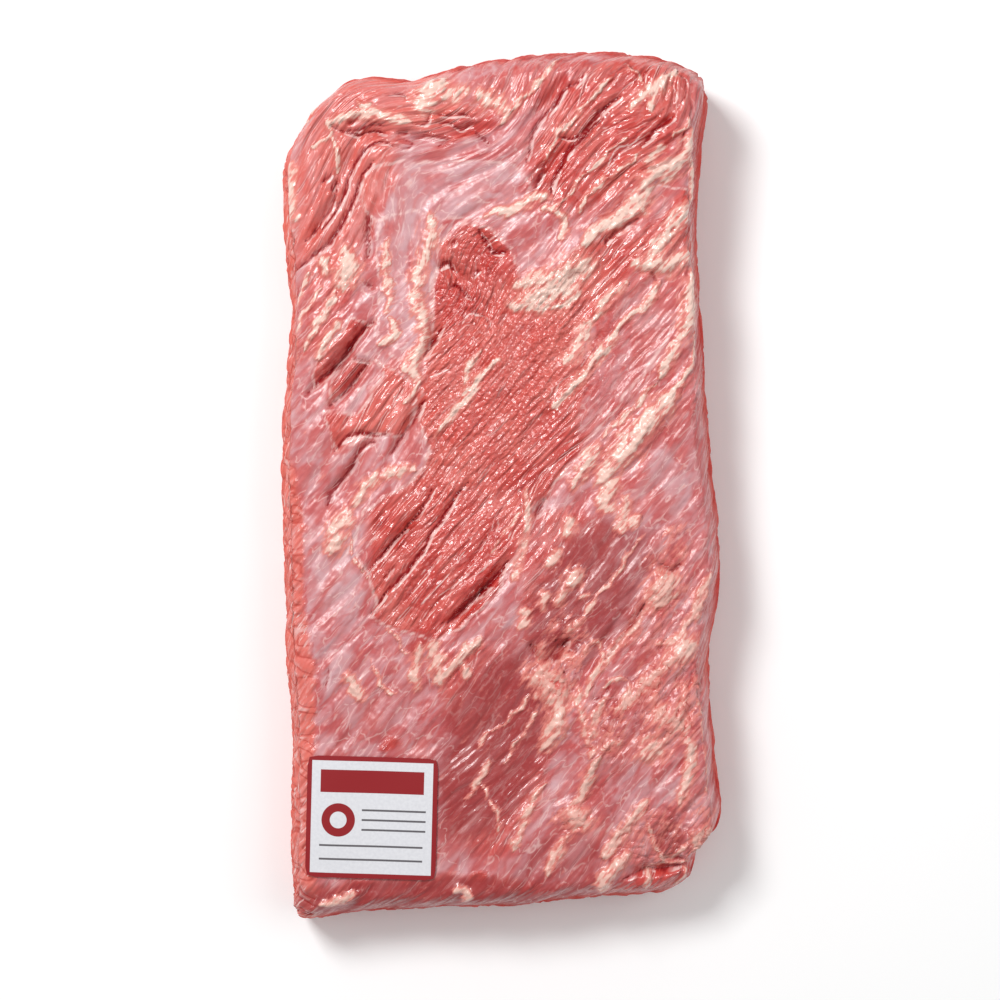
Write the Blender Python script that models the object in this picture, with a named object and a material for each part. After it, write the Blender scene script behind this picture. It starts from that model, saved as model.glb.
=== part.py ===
"""A raw beef brisket with its paper label, for Blender 4.5. Sizes are in millimetres until a mesh is finished.

+X runs across the meat, +Y along it to its thick end, +Z up. The origin is under its middle, on the surface it lies on.
"""

import bmesh
import bpy
import numpy as np
from mathutils import Vector
from mathutils.bvhtree import BVHTree

MM = 0.001

# Overall size of the meat
WIDTH = 181.0
LENGTH = 357.0
THICK_END = 49.0
THIN_END = 38.0
CROWN = 3.5

# How the top rolls over into each side, and how the sides meet the flat underside
LEFT_ROLL = 17.0
RIGHT_ROLL = 10.0
THICK_END_ROLL = 13.0
THIN_END_ROLL = 10.0
WIDEST_AT = 0.44
SIDE_BULGE = 1.2
FOOT_INSET = 9.0
FOOT_WAVER = 4.0
FOOT_WAVE = 31.0
FOOT_CLEAR = 9.0
SKIN_DROP = 0.8

# The outline, as steps in from a WIDTH by LENGTH box: (place along the side, step in)
LEFT_SIDE = (
    (-173.2, 4.9), (-143.7, 3.7), (-106.8, 4.1), (-67.9, 1.8), (-12.5, 0.2), (23.2, 0.0),
    (74.4, 3.5), (96.1, 1.6), (122.8, 0.0), (131.8, 0.8), (147.4, 9.8), (152.3, 12.3),
)
RIGHT_SIDE = (
    (-160.1, 11.9), (-147.0, 8.2), (-140.8, 2.0), (-111.3, 1.8), (-76.1, 4.5), (-61.7, 4.1), (-47.8, 1.2),
    (-26.4, 0.0), (12.5, 3.9), (54.7, 6.8), (107.6, 9.0), (143.3, 7.4), (160.9, 5.7), (168.3, 7.4),
)
THICK_SIDE = (
    (-78.3, 26.5), (-68.9, 16.6), (-63.1, 12.1), (-54.5, 10.3), (-37.7, 11.3), (-12.3, 4.8),
    (9.0, 1.5), (23.0, 0.0), (51.3, 0.7), (71.3, 3.9), (83.2, 10.5),
)
THIN_SIDE = (
    (-85.7, 5.6), (-83.6, 1.9), (-79.3, 0.0), (-66.0, 2.3), (-33.6, 4.8),
    (-0.4, 5.6), (37.3, 9.7), (68.9, 12.5), (78.7, 18.7),
)

# The mesh: squares of the underside, and how many times finer the top and sides are
CELLS_ACROSS = 21
CELLS_ALONG = 42
CELLS_DOWN = 3
FINER = 2
EDGE_CROWDING = 0.3

# Muscle grain: its direction, where it turns as (x, y, reach, degrees), and the coarse bundles
GRAIN_ANGLE = 50.0
GRAIN_TURNS = (
    (-38.0, 146.0, 20.0, -45.0),
    (-8.0, 146.0, 16.0, -30.0),
    (80.0, 158.0, 17.0, 38.0),
    (-18.0, 88.0, 14.0, 30.0),
    (72.0, -60.0, 30.0, 8.0),
)
BUNDLE_WIDTH = 13.0
BUNDLE_LENGTH = 70.0
BUNDLE_DEPTH = 1.5

# Broad hollows (negative) and swells of the top: (x, y, reach, height)
SWELLS = (
    (-21.0, 78.0, 17.0, -3.0),
    (8.0, -111.0, 20.0, -2.2),
    (64.0, -108.0, 22.0, 2.4),
    (-30.0, -25.0, 24.0, 1.6),
    (40.0, 140.0, 26.0, 1.5),
    (-50.0, 155.0, 18.0, 1.8),
    (64.0, -163.0, 9.0, -3.0),
)

# Cuts, folds and pockets: (x, y, angle, length, width, depth)
FOLDS = (
    (-74.0, 106.0, 55.0, 52.0, 6.0, 3.6),
    (-62.0, 131.0, 65.0, 36.0, 6.0, 3.6),
    (-51.0, 142.0, 22.0, 26.0, 5.0, 3.0),
    (-34.0, 140.0, -8.0, 34.0, 5.0, 2.8),
    (-11.0, 144.0, 5.0, 26.0, 5.0, 3.2),
    (17.2, 154.2, 50.0, 46.0, 4.5, 3.2),
    (20.8, 130.2, 60.0, 42.0, 4.5, 3.0),
    (41.2, 116.9, 45.0, 50.0, 4.5, 2.2),
    (66.5, 136.2, 40.0, 28.0, 6.0, 2.8),
    (-27.3, 61.6, 68.0, 34.0, 5.0, 3.4),
    (-18.0, 86.0, -40.0, 22.0, 5.0, 3.0),
    (-64.6, 53.2, 52.0, 36.0, 5.5, 4.0),
    (-59.8, 43.6, 50.0, 26.0, 4.5, 3.0),
    (-37.7, 26.0, 62.0, 42.0, 4.5, 3.0),
    (-62.2, 3.0, 58.0, 36.0, 4.5, 2.6),
    (-40.6, -17.8, 48.0, 52.0, 4.0, 2.8),
    (-9.3, -43.0, 50.0, 58.0, 4.5, 3.2),
    (23.2, -64.7, 15.0, 20.0, 9.0, 3.0),
    (43.6, -59.9, 55.0, 46.0, 4.5, 2.4),
    (65.3, -155.0, 5.0, 36.0, 5.0, 3.0),
)

# Raised fat: (x, y, angle, length, width, height)
LUMPS = (
    (-26.7, 160.2, 70.0, 18.0, 10.0, 1.6),
    (-64.6, 88.7, -15.0, 17.0, 9.0, 1.8),
    (60.0, 125.0, 42.0, 46.0, 7.0, 1.4),
    (28.0, 92.0, 44.0, 62.0, 12.0, 1.6),
    (64.0, 92.0, 52.0, 34.0, 9.0, 1.4),
    (57.0, 22.0, 52.0, 52.0, 10.0, 1.8),
    (65.3, -40.6, 60.0, 20.0, 12.0, 2.4),
    (70.0, -69.0, 45.0, 34.0, 11.0, 2.2),
    (21.0, -77.0, 80.0, 30.0, 15.0, 2.2),
    (24.4, -97.1, 75.0, 24.0, 10.0, 1.8),
    (67.0, -93.0, 55.0, 32.0, 16.0, 2.0),
    (36.0, -114.0, 58.0, 34.0, 9.0, 2.0),
    (30.4, -132.0, 10.0, 15.0, 11.0, 2.0),
    (53.2, -132.0, 55.0, 28.0, 8.0, 1.6),
    (46.0, -155.0, 60.0, 24.0, 9.0, 2.0),
    (80.0, -139.0, 30.0, 18.0, 11.0, 1.6),
)

# The paper label that lies on the meat
LABEL_PLACE = (-52.5, -134.0)
LABEL_WIDTH = 53.0
LABEL_HEIGHT = 49.5
LABEL_TURN = -1.5
LABEL_CORNER = 1.5
LABEL_THICKNESS = 0.4
LABEL_GAP = 0.35
LABEL_CELLS = 12
PRESSED_REACH = 6.0


def hashed(ix, iy, seed):
    """A repeatable number from 0 to 1 for each whole-number square."""
    n = np.sin(ix * 127.1 + iy * 311.7 + seed * 74.7) * 43758.5453
    return n - np.floor(n)


def noise(x, y, seed):
    """Smooth noise from -1 to 1, with waves about one unit long."""
    ix, iy = np.floor(x), np.floor(y)
    fx, fy = x - ix, y - iy
    fx, fy = fx * fx * (3 - 2 * fx), fy * fy * (3 - 2 * fy)
    low = hashed(ix, iy, seed) * (1 - fx) + hashed(ix + 1, iy, seed) * fx
    high = hashed(ix, iy + 1, seed) * (1 - fx) + hashed(ix + 1, iy + 1, seed) * fx
    return 2 * (low * (1 - fy) + high * fy) - 1


def cell_gap(x, y, seed):
    """How far a point is from the border of its scattered cell: 0 on the border."""
    ix, iy = np.floor(x), np.floor(y)
    first = np.full(x.shape, 9.0)
    second = np.full(x.shape, 9.0)
    for i in (-1, 0, 1):
        for j in (-1, 0, 1):
            px = ix + i + hashed(ix + i, iy + j, seed)
            py = iy + j + hashed(ix + i, iy + j, seed + 1)
            d = np.hypot(x - px, y - py)
            second = np.minimum(second, np.maximum(first, d))
            first = np.minimum(first, d)
    return second - first


def smoothstep(low, high, value):
    t = np.clip((value - low) / (high - low), 0, 1)
    return t * t * (3 - 2 * t)


def curve_through(points, share):
    """Points of a smooth curve through the given ones. share runs from 0 to 1 along it."""
    points = np.array(points, float)
    steps = np.hypot(*np.diff(points, axis=0).T)
    at = np.concatenate([[0], np.cumsum(steps)]) / steps.sum()
    slopes = np.gradient(points, at, axis=0)
    k = np.clip(np.searchsorted(at, share) - 1, 0, len(at) - 2)
    h = (at[k + 1] - at[k])[:, None]
    t = np.clip((share - at[k])[:, None] / h, 0, 1)
    return (
        (2 * t**3 - 3 * t**2 + 1) * points[k]
        + (t**3 - 2 * t**2 + t) * h * slopes[k]
        + (3 * t**2 - 2 * t**3) * points[k + 1]
        + (t**3 - t**2) * h * slopes[k + 1]
    )


def plan(across, along):
    """Plan position for shares from -1 to 1 across and along the meat, blended from its four sides."""
    left = [(step - WIDTH / 2, y) for y, step in LEFT_SIDE]
    right = [(WIDTH / 2 - step, y) for y, step in RIGHT_SIDE]
    thick = [(x, LENGTH / 2 - step) for x, step in THICK_SIDE]
    thin = [(x, step - LENGTH / 2) for x, step in THIN_SIDE]
    u, v = (1 + across) / 2, (1 + along) / 2
    left_at, right_at = curve_through(left, v), curve_through(right, v)
    thin_at, thick_at = curve_through(thin, u), curve_through(thick, u)
    u, v = u[:, None], v[:, None]
    corners = (1 - v) * ((1 - u) * np.array(left[0]) + u * np.array(right[0]))
    corners = corners + v * ((1 - u) * np.array(left[-1]) + u * np.array(right[-1]))
    return (1 - v) * thin_at + v * thick_at + (1 - u) * left_at + u * right_at - corners


def thickness(x, y):
    """Height of the top, before it rolls over at the edges and before its grain."""
    middle = (THICK_END + THIN_END) / 2
    height = middle + (THICK_END - THIN_END) * y / LENGTH - CROWN * (2 * x / WIDTH) ** 2
    height = height + 1.6 * noise(x / 55, y / 55, 3) + 0.8 * noise(x / 24, y / 24, 5)
    for cx, cy, reach, rise in SWELLS:
        height = height + rise * np.exp(-((x - cx) ** 2 + (y - cy) ** 2) / (2 * reach**2))
    return height


def skin(cage):
    """Places cage points, each coordinate from -1 to 1, on the smooth body, and unrolls the skin flat from the top."""
    a, b, c = cage.T
    down = np.clip((1 - c) / 2, 0, 1)
    waver = FOOT_WAVER * noise(a * WIDTH / 2 / FOOT_WAVE, b * LENGTH / 2 / FOOT_WAVE, 7)
    inset = (FOOT_INSET + waver) * down**3 - SIDE_BULGE * np.sin(np.pi * down)
    across = (a + EDGE_CROWDING * np.sin(np.pi * a) / np.pi) * (1 - 2 * inset / WIDTH)
    along = (b + EDGE_CROWDING * np.sin(np.pi * b) / np.pi) * (1 - 2 * inset / LENGTH)
    x, y = plan(across, along).T
    top = thickness(x, y)
    edge = WIDEST_AT * top
    roll_x = np.where(across < 0, LEFT_ROLL, RIGHT_ROLL)
    roll_y = np.where(along < 0, THIN_END_ROLL, THICK_END_ROLL)
    near_x = np.clip(1 - (1 - abs(across)) * WIDTH / 2 / roll_x, 0, 1)
    near_y = np.clip(1 - (1 - abs(along)) * LENGTH / 2 / roll_y, 0, 1)
    rolled = np.clip((near_x**6 + near_y**6) ** (1 / 6), 0, 1)
    on_top = c > 0.999
    z = np.where(on_top, edge + (top - edge) * np.sqrt(1 - rolled**2), edge * (1 - down))
    drop_x = np.where(on_top, (top - edge) * (1 - np.sqrt(1 - near_x**2)), top - z)
    drop_y = np.where(on_top, (top - edge) * (1 - np.sqrt(1 - near_y**2)), top - z)
    share_x = smoothstep(0.9, 1, abs(a)) / (smoothstep(0.9, 1, abs(a)) + smoothstep(0.9, 1, abs(b)) + 1e-9)
    flat_x = x + np.sign(a) * SKIN_DROP * drop_x * share_x
    flat_y = y + np.sign(b) * SKIN_DROP * drop_y * (1 - share_x)
    return np.stack([x, y, z], 1), flat_x, flat_y


def grain(x, y):
    """Distances along and across the muscle grain."""
    for cx, cy, reach, degrees in GRAIN_TURNS:
        turn = np.radians(degrees) * np.exp(-((x - cx) ** 2 + (y - cy) ** 2) / (2 * reach**2))
        dx, dy = x - cx, y - cy
        x = cx + dx * np.cos(turn) + dy * np.sin(turn)
        y = cy - dx * np.sin(turn) + dy * np.cos(turn)
    x = x + 3.0 * noise(x / 34, y / 34, 11)
    y = y + 3.0 * noise(x / 34, y / 34, 12)
    angle = np.radians(GRAIN_ANGLE)
    return x * np.cos(angle) + y * np.sin(angle), y * np.cos(angle) - x * np.sin(angle)


def lozenge(x, y, cx, cy, degrees, length, width):
    """1 in the middle of a long rounded patch, 0 outside it."""
    angle = np.radians(degrees)
    dx, dy = x - cx, y - cy
    along = (dx * np.cos(angle) + dy * np.sin(angle)) / (length / 2)
    across = (dy * np.cos(angle) - dx * np.sin(angle)) / (width / 2)
    return 1 - smoothstep(0.0, 1.0, np.hypot(along, across))


def pressed(x, y):
    """1 under the label, which lies flat, and 0 away from it."""
    angle = np.radians(LABEL_TURN)
    dx, dy = x - LABEL_PLACE[0], y - LABEL_PLACE[1]
    over_x = abs(dx * np.cos(angle) + dy * np.sin(angle)) - LABEL_WIDTH / 2
    over_y = abs(dy * np.cos(angle) - dx * np.sin(angle)) - LABEL_HEIGHT / 2
    return 1 - smoothstep(0, PRESSED_REACH, np.maximum(over_x, over_y))


def relief(x, y):
    """Height of bundles, folds and lumps above the smooth body, at an unrolled place."""
    s, q = grain(x, y)
    gap = cell_gap(s / BUNDLE_LENGTH, q / BUNDLE_WIDTH, 21)
    height = -BUNDLE_DEPTH * (1 - smoothstep(0.0, 0.45, gap))
    for cx, cy, degrees, length, width, depth in FOLDS:
        height = height - depth * lozenge(x, y, cx, cy, degrees, length, width * 1.5)
    for cx, cy, degrees, length, width, rise in LUMPS:
        height = height + rise * lozenge(x, y, cx, cy, degrees, length, width * 1.3)
    return height * (1 - 0.9 * pressed(x, y))


def material(name, color, roughness):
    made = bpy.data.materials.new(name)
    made.use_nodes = True
    shader = made.node_tree.nodes["Principled BSDF"]
    shader.inputs["Base Color"].default_value = (*color, 1.0)
    shader.inputs["Roughness"].default_value = roughness
    return made


def finished(name, mesh_maker, made_of):
    """Links the finished bmesh as an object of its own, in metres."""
    mesh = bpy.data.meshes.new(name)
    bmesh.ops.scale(mesh_maker, vec=(MM, MM, MM), verts=mesh_maker.verts)
    bmesh.ops.recalc_face_normals(mesh_maker, faces=mesh_maker.faces)
    mesh_maker.to_mesh(mesh)
    mesh_maker.free()
    mesh.materials.append(made_of)
    mesh.shade_smooth()
    obj = bpy.data.objects.new(name, mesh)
    bpy.context.scene.collection.objects.link(obj)
    return obj


def cut_edges(bm, axis, cuts, keep=lambda edge: True):
    """Cuts the cage's edges that run along one axis."""
    def runs(edge):
        step = edge.verts[1].co - edge.verts[0].co
        return abs(step[axis]) > 1e-6 and keep(edge)

    chosen = [edge for edge in bm.edges if runs(edge)]
    bmesh.ops.subdivide_edges(bm, edges=chosen, cuts=cuts, use_grid_fill=True)


def cage():
    """A cube of side 2, cut into a coarse underside and a finer top and sides."""
    bm = bmesh.new()
    bmesh.ops.create_cube(bm, size=2.0)
    for axis, cells in enumerate((CELLS_ACROSS, CELLS_ALONG, CELLS_DOWN)):
        cut_edges(bm, axis, cells - 1)

    def above_foot(edge):
        return min(vert.co.z for vert in edge.verts) > -0.999 or abs(edge.verts[0].co.z - edge.verts[1].co.z) > 0.1

    chosen = [edge for edge in bm.edges if above_foot(edge)]
    bmesh.ops.subdivide_edges(bm, edges=chosen, cuts=FINER - 1, use_grid_fill=True)
    return bm


def build_meat():
    bm = cage()
    bm.verts.ensure_lookup_table()
    body, flat_x, flat_y = skin(np.array([v.co for v in bm.verts], float))
    for vert, place in zip(bm.verts, body):
        vert.co = Vector(place)
    bmesh.ops.recalc_face_normals(bm, faces=bm.faces)
    bm.normal_update()
    normals = np.array([v.normal for v in bm.verts], float)
    off_floor = smoothstep(0.0, FOOT_CLEAR, body[:, 2])
    moved = body + normals * (relief(flat_x, flat_y) * off_floor)[:, None]
    for vert, place in zip(bm.verts, moved):
        vert.co = Vector(place)
    bmesh.ops.triangulate(bm, faces=bm.faces, quad_method="BEAUTY", ngon_method="BEAUTY")
    return finished("brisket", bm, material("meat", (0.58, 0.13, 0.11), 0.35))


def build_label(meat):
    """A sheet of paper that follows the meat under it, with a small gap all over."""
    bm = bmesh.new()
    bmesh.ops.create_grid(bm, x_segments=LABEL_CELLS, y_segments=LABEL_CELLS, size=0.5)
    corners = [v for v in bm.verts if len(v.link_edges) == 2]
    bmesh.ops.scale(bm, vec=(LABEL_WIDTH, LABEL_HEIGHT, 1), verts=bm.verts)
    for corner in corners:
        corner.co -= Vector((np.sign(corner.co.x), np.sign(corner.co.y), 0)) * LABEL_CORNER / 2
    angle = np.radians(LABEL_TURN)
    surface = BVHTree.FromObject(meat, bpy.context.evaluated_depsgraph_get())
    for vert in bm.verts:
        x, y, _ = vert.co
        vert.co.x = LABEL_PLACE[0] + x * np.cos(angle) - y * np.sin(angle)
        vert.co.y = LABEL_PLACE[1] + x * np.sin(angle) + y * np.cos(angle)
        hit = surface.ray_cast(Vector((vert.co.x, vert.co.y, 2 * THICK_END)) * MM, Vector((0, 0, -1)))
        vert.co.z = hit[0].z / MM
    under = {vert: vert.co.z for vert in bm.verts}
    for _ in range(3):
        bmesh.ops.smooth_vert(bm, verts=bm.verts, factor=0.5, use_axis_z=True)
    lift = max(z - vert.co.z for vert, z in under.items()) + LABEL_GAP
    bmesh.ops.translate(bm, vec=(0, 0, lift), verts=bm.verts)
    bmesh.ops.recalc_face_normals(bm, faces=bm.faces)
    sheet = bmesh.ops.extrude_face_region(bm, geom=bm.faces[:])
    raised = [item for item in sheet["geom"] if isinstance(item, bmesh.types.BMVert)]
    bmesh.ops.translate(bm, vec=(0, 0, LABEL_THICKNESS), verts=raised)
    bmesh.ops.triangulate(bm, faces=bm.faces)
    return finished("label", bm, material("label_paper", (0.86, 0.86, 0.87), 0.5))


def main():
    for obj in list(bpy.data.objects):
        bpy.data.objects.remove(obj)
    meat = build_meat()
    bpy.context.view_layer.update()
    build_label(meat)


main()
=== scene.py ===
"""The looks of a raw beef brisket with a paper label. Sizes of the meat and the label are in millimetres.

+X runs across the meat, +Y along it to its thick end, +Z up, as in the frame.
"""

import bmesh
import bpy
import numpy as np
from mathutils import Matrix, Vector
from mathutils.bvhtree import BVHTree


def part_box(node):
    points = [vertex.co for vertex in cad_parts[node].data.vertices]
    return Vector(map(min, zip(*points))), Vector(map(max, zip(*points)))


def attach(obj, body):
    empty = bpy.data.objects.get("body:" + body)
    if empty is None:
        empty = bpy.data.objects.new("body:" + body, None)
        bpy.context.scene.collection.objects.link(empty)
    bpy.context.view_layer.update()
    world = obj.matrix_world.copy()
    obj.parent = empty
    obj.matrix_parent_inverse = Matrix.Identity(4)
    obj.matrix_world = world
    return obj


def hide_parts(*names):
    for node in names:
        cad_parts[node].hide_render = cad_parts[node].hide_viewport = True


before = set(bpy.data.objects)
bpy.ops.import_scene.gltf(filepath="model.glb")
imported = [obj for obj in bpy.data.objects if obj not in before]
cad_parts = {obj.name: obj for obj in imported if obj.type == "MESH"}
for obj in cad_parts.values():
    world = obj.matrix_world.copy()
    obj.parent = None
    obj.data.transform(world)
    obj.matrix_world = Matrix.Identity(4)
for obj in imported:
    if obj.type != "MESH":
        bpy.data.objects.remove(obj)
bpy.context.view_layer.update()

MM = 0.001

# Overall size of the meat
WIDTH = 181.0
LENGTH = 357.0
THICK_END = 49.0
THIN_END = 38.0
CROWN = 3.5
# Waves of the top that are too long to be relief: (height, length, seed)
LONG_WAVES = ((1.6, 55, 3), (0.8, 24, 5))

# How the top rolls over into each side, and how the sides meet the flat underside
LEFT_ROLL = 17.0
RIGHT_ROLL = 10.0
THICK_END_ROLL = 13.0
THIN_END_ROLL = 10.0
ROLL_POWER = 6
WIDEST_AT = 0.44
SIDE_BULGE = 1.2
FOOT_INSET = 9.0
FOOT_WAVER = 4.0
FOOT_WAVE = 31.0
FOOT_CLEAR = 9.0

# How the skin is unrolled down the sides, and how far below the top their finish begins and is whole
SKIN_DROP = 0.8
UNROLL_FROM = 0.9
SIDE_FROM = 3.0
SIDE_WHOLE = 10.0

# The outline, as steps in from a WIDTH by LENGTH box: (place along the side, step in)
LEFT_SIDE = (
    (-173.2, 4.9), (-143.7, 3.7), (-106.8, 4.1), (-67.9, 1.8), (-12.5, 0.2), (23.2, 0.0),
    (74.4, 3.5), (96.1, 1.6), (122.8, 0.0), (131.8, 0.8), (147.4, 9.8), (152.3, 12.3),
)
RIGHT_SIDE = (
    (-160.1, 11.9), (-147.0, 8.2), (-140.8, 2.0), (-111.3, 1.8), (-76.1, 4.5), (-61.7, 4.1), (-47.8, 1.2),
    (-26.4, 0.0), (12.5, 3.9), (54.7, 6.8), (107.6, 9.0), (143.3, 7.4), (160.9, 5.7), (168.3, 7.4),
)
THICK_SIDE = (
    (-78.3, 26.5), (-68.9, 16.6), (-63.1, 12.1), (-54.5, 10.3), (-37.7, 11.3), (-12.3, 4.8),
    (9.0, 1.5), (23.0, 0.0), (51.3, 0.7), (71.3, 3.9), (83.2, 10.5),
)
THIN_SIDE = (
    (-85.7, 5.6), (-83.6, 1.9), (-79.3, 0.0), (-66.0, 2.3), (-33.6, 4.8),
    (-0.4, 5.6), (37.3, 9.7), (68.9, 12.5), (78.7, 18.7),
)

# The mesh: squares of the underside, and how many times finer the top and sides are
CELLS_ACROSS = 46
CELLS_ALONG = 92
CELLS_DOWN = 4
FINER = 4
EDGE_CROWDING = 0.3

# Muscle grain: its direction, where it turns as (x, y, reach, degrees), and the coarse bundles
GRAIN_ANGLE = 50.0
GRAIN_TURNS = (
    (-38, 146, 20, -45),
    (-8, 146, 16, -30),
    (80, 158, 17, 38),
    (-18, 88, 14, 30),
    (72, -60, 30, 8),
)
BUNDLE_WIDTH = 13.0
BUNDLE_LENGTH = 70.0
BUNDLE_DEPTH = 1.0
BUNDLE_SHARE = 0.45
STRAND_WIDTH = 4.8
STRAND_DEPTH = 0.8
RIB_WIDTH = 5.0
RIB_LENGTH = 13.0
RIB_LEVEL = 0.22
RIB_DEPTH = 0.5

# Creases: the relief beside the dark line, which is painted shade, the depth past which that painted shade
# gets no darker, and the painted highlight line beside it
CREASE_SPREAD = 1.5
CREASE_DEPTH = 0.85
DARK_DEPTH = 2.0
SHINE_STEP = 0.9
SHINE_SPREAD = 0.75

# Fat: how much a streak narrows to its ends, and the width from which it has its whole height
STREAK_TAPER = 0.55
WIDE_FAT = 7.0

# Silvery skin: the rims of its crisp sheets, and how much of it is on the sides and on the left band
RIM_SOFTNESS = 2.0
RIM_WIDTH = 1.0
SIDE_FILM = 0.15
BAND_FILM = 0.12

# Broad hollows (negative) and swells of the top: (x, y, reach, height)
SWELLS = (
    (-21, 78, 17, -3),
    (8, -111, 20, -2.2),
    (64, -108, 22, 2.4),
    (-30, -25, 24, 1.6),
    (40, 140, 26, 1.5),
    (-50, 155, 18, 1.8),
    (64, -163, 9, -3),
)

# Cuts, folds and pockets: (x, y, angle, length, width, depth)
FOLDS = (
    (-74, 106, 55, 52, 6, 3.6),
    (-62, 131, 65, 36, 6, 3.6),
    (-51, 142, 22, 26, 5, 3),
    (-34, 140, -8, 34, 5, 2.8),
    (-11, 144, 5, 26, 5, 3.2),
    (17.2, 154.2, 50, 46, 4.5, 3.2),
    (20.8, 130.2, 60, 42, 4.5, 3),
    (41.2, 116.9, 45, 50, 4.5, 2.2),
    (66.5, 136.2, 40, 28, 6, 2.8),
    (-27.3, 61.6, 68, 34, 5, 3.4),
    (-18, 86, -40, 22, 5, 3),
    (-64.6, 53.2, 52, 36, 5.5, 4),
    (-59.8, 43.6, 50, 26, 4.5, 3),
    (-37.7, 26, 62, 42, 4.5, 3),
    (-62.2, 3, 58, 36, 4.5, 2.6),
    (-40.6, -17.8, 48, 52, 4, 2.8),
    (-9.3, -43, 50, 58, 4.5, 3.2),
    (23.2, -64.7, 15, 20, 9, 3),
    (43.6, -59.9, 55, 46, 4.5, 2.4),
    (65.3, -155, 5, 36, 5, 3),
)

# Raised fat: (x, y, angle, length, width, height)
LUMPS = (
    (-26.7, 160.2, 70, 18, 10, 1.6),
    (-64.6, 88.7, -15, 17, 9, 1.8),
    (60, 125, 42, 46, 7, 1.4),
    (28, 92, 44, 62, 12, 1.6),
    (64, 92, 52, 34, 9, 1.4),
    (57, 22, 52, 52, 10, 1.8),
    (65.3, -40.6, 60, 20, 12, 2.4),
    (70, -69, 45, 34, 11, 2.2),
    (21, -77, 80, 30, 15, 2.2),
    (24.4, -97.1, 75, 24, 10, 1.8),
    (67, -93, 55, 32, 16, 2),
    (36, -114, 58, 34, 9, 2),
    (30.4, -132, 10, 15, 11, 2),
    (53.2, -132, 55, 28, 8, 1.6),
    (46, -155, 60, 24, 9, 2),
    (80, -139, 30, 18, 11, 1.6),
)

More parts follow.
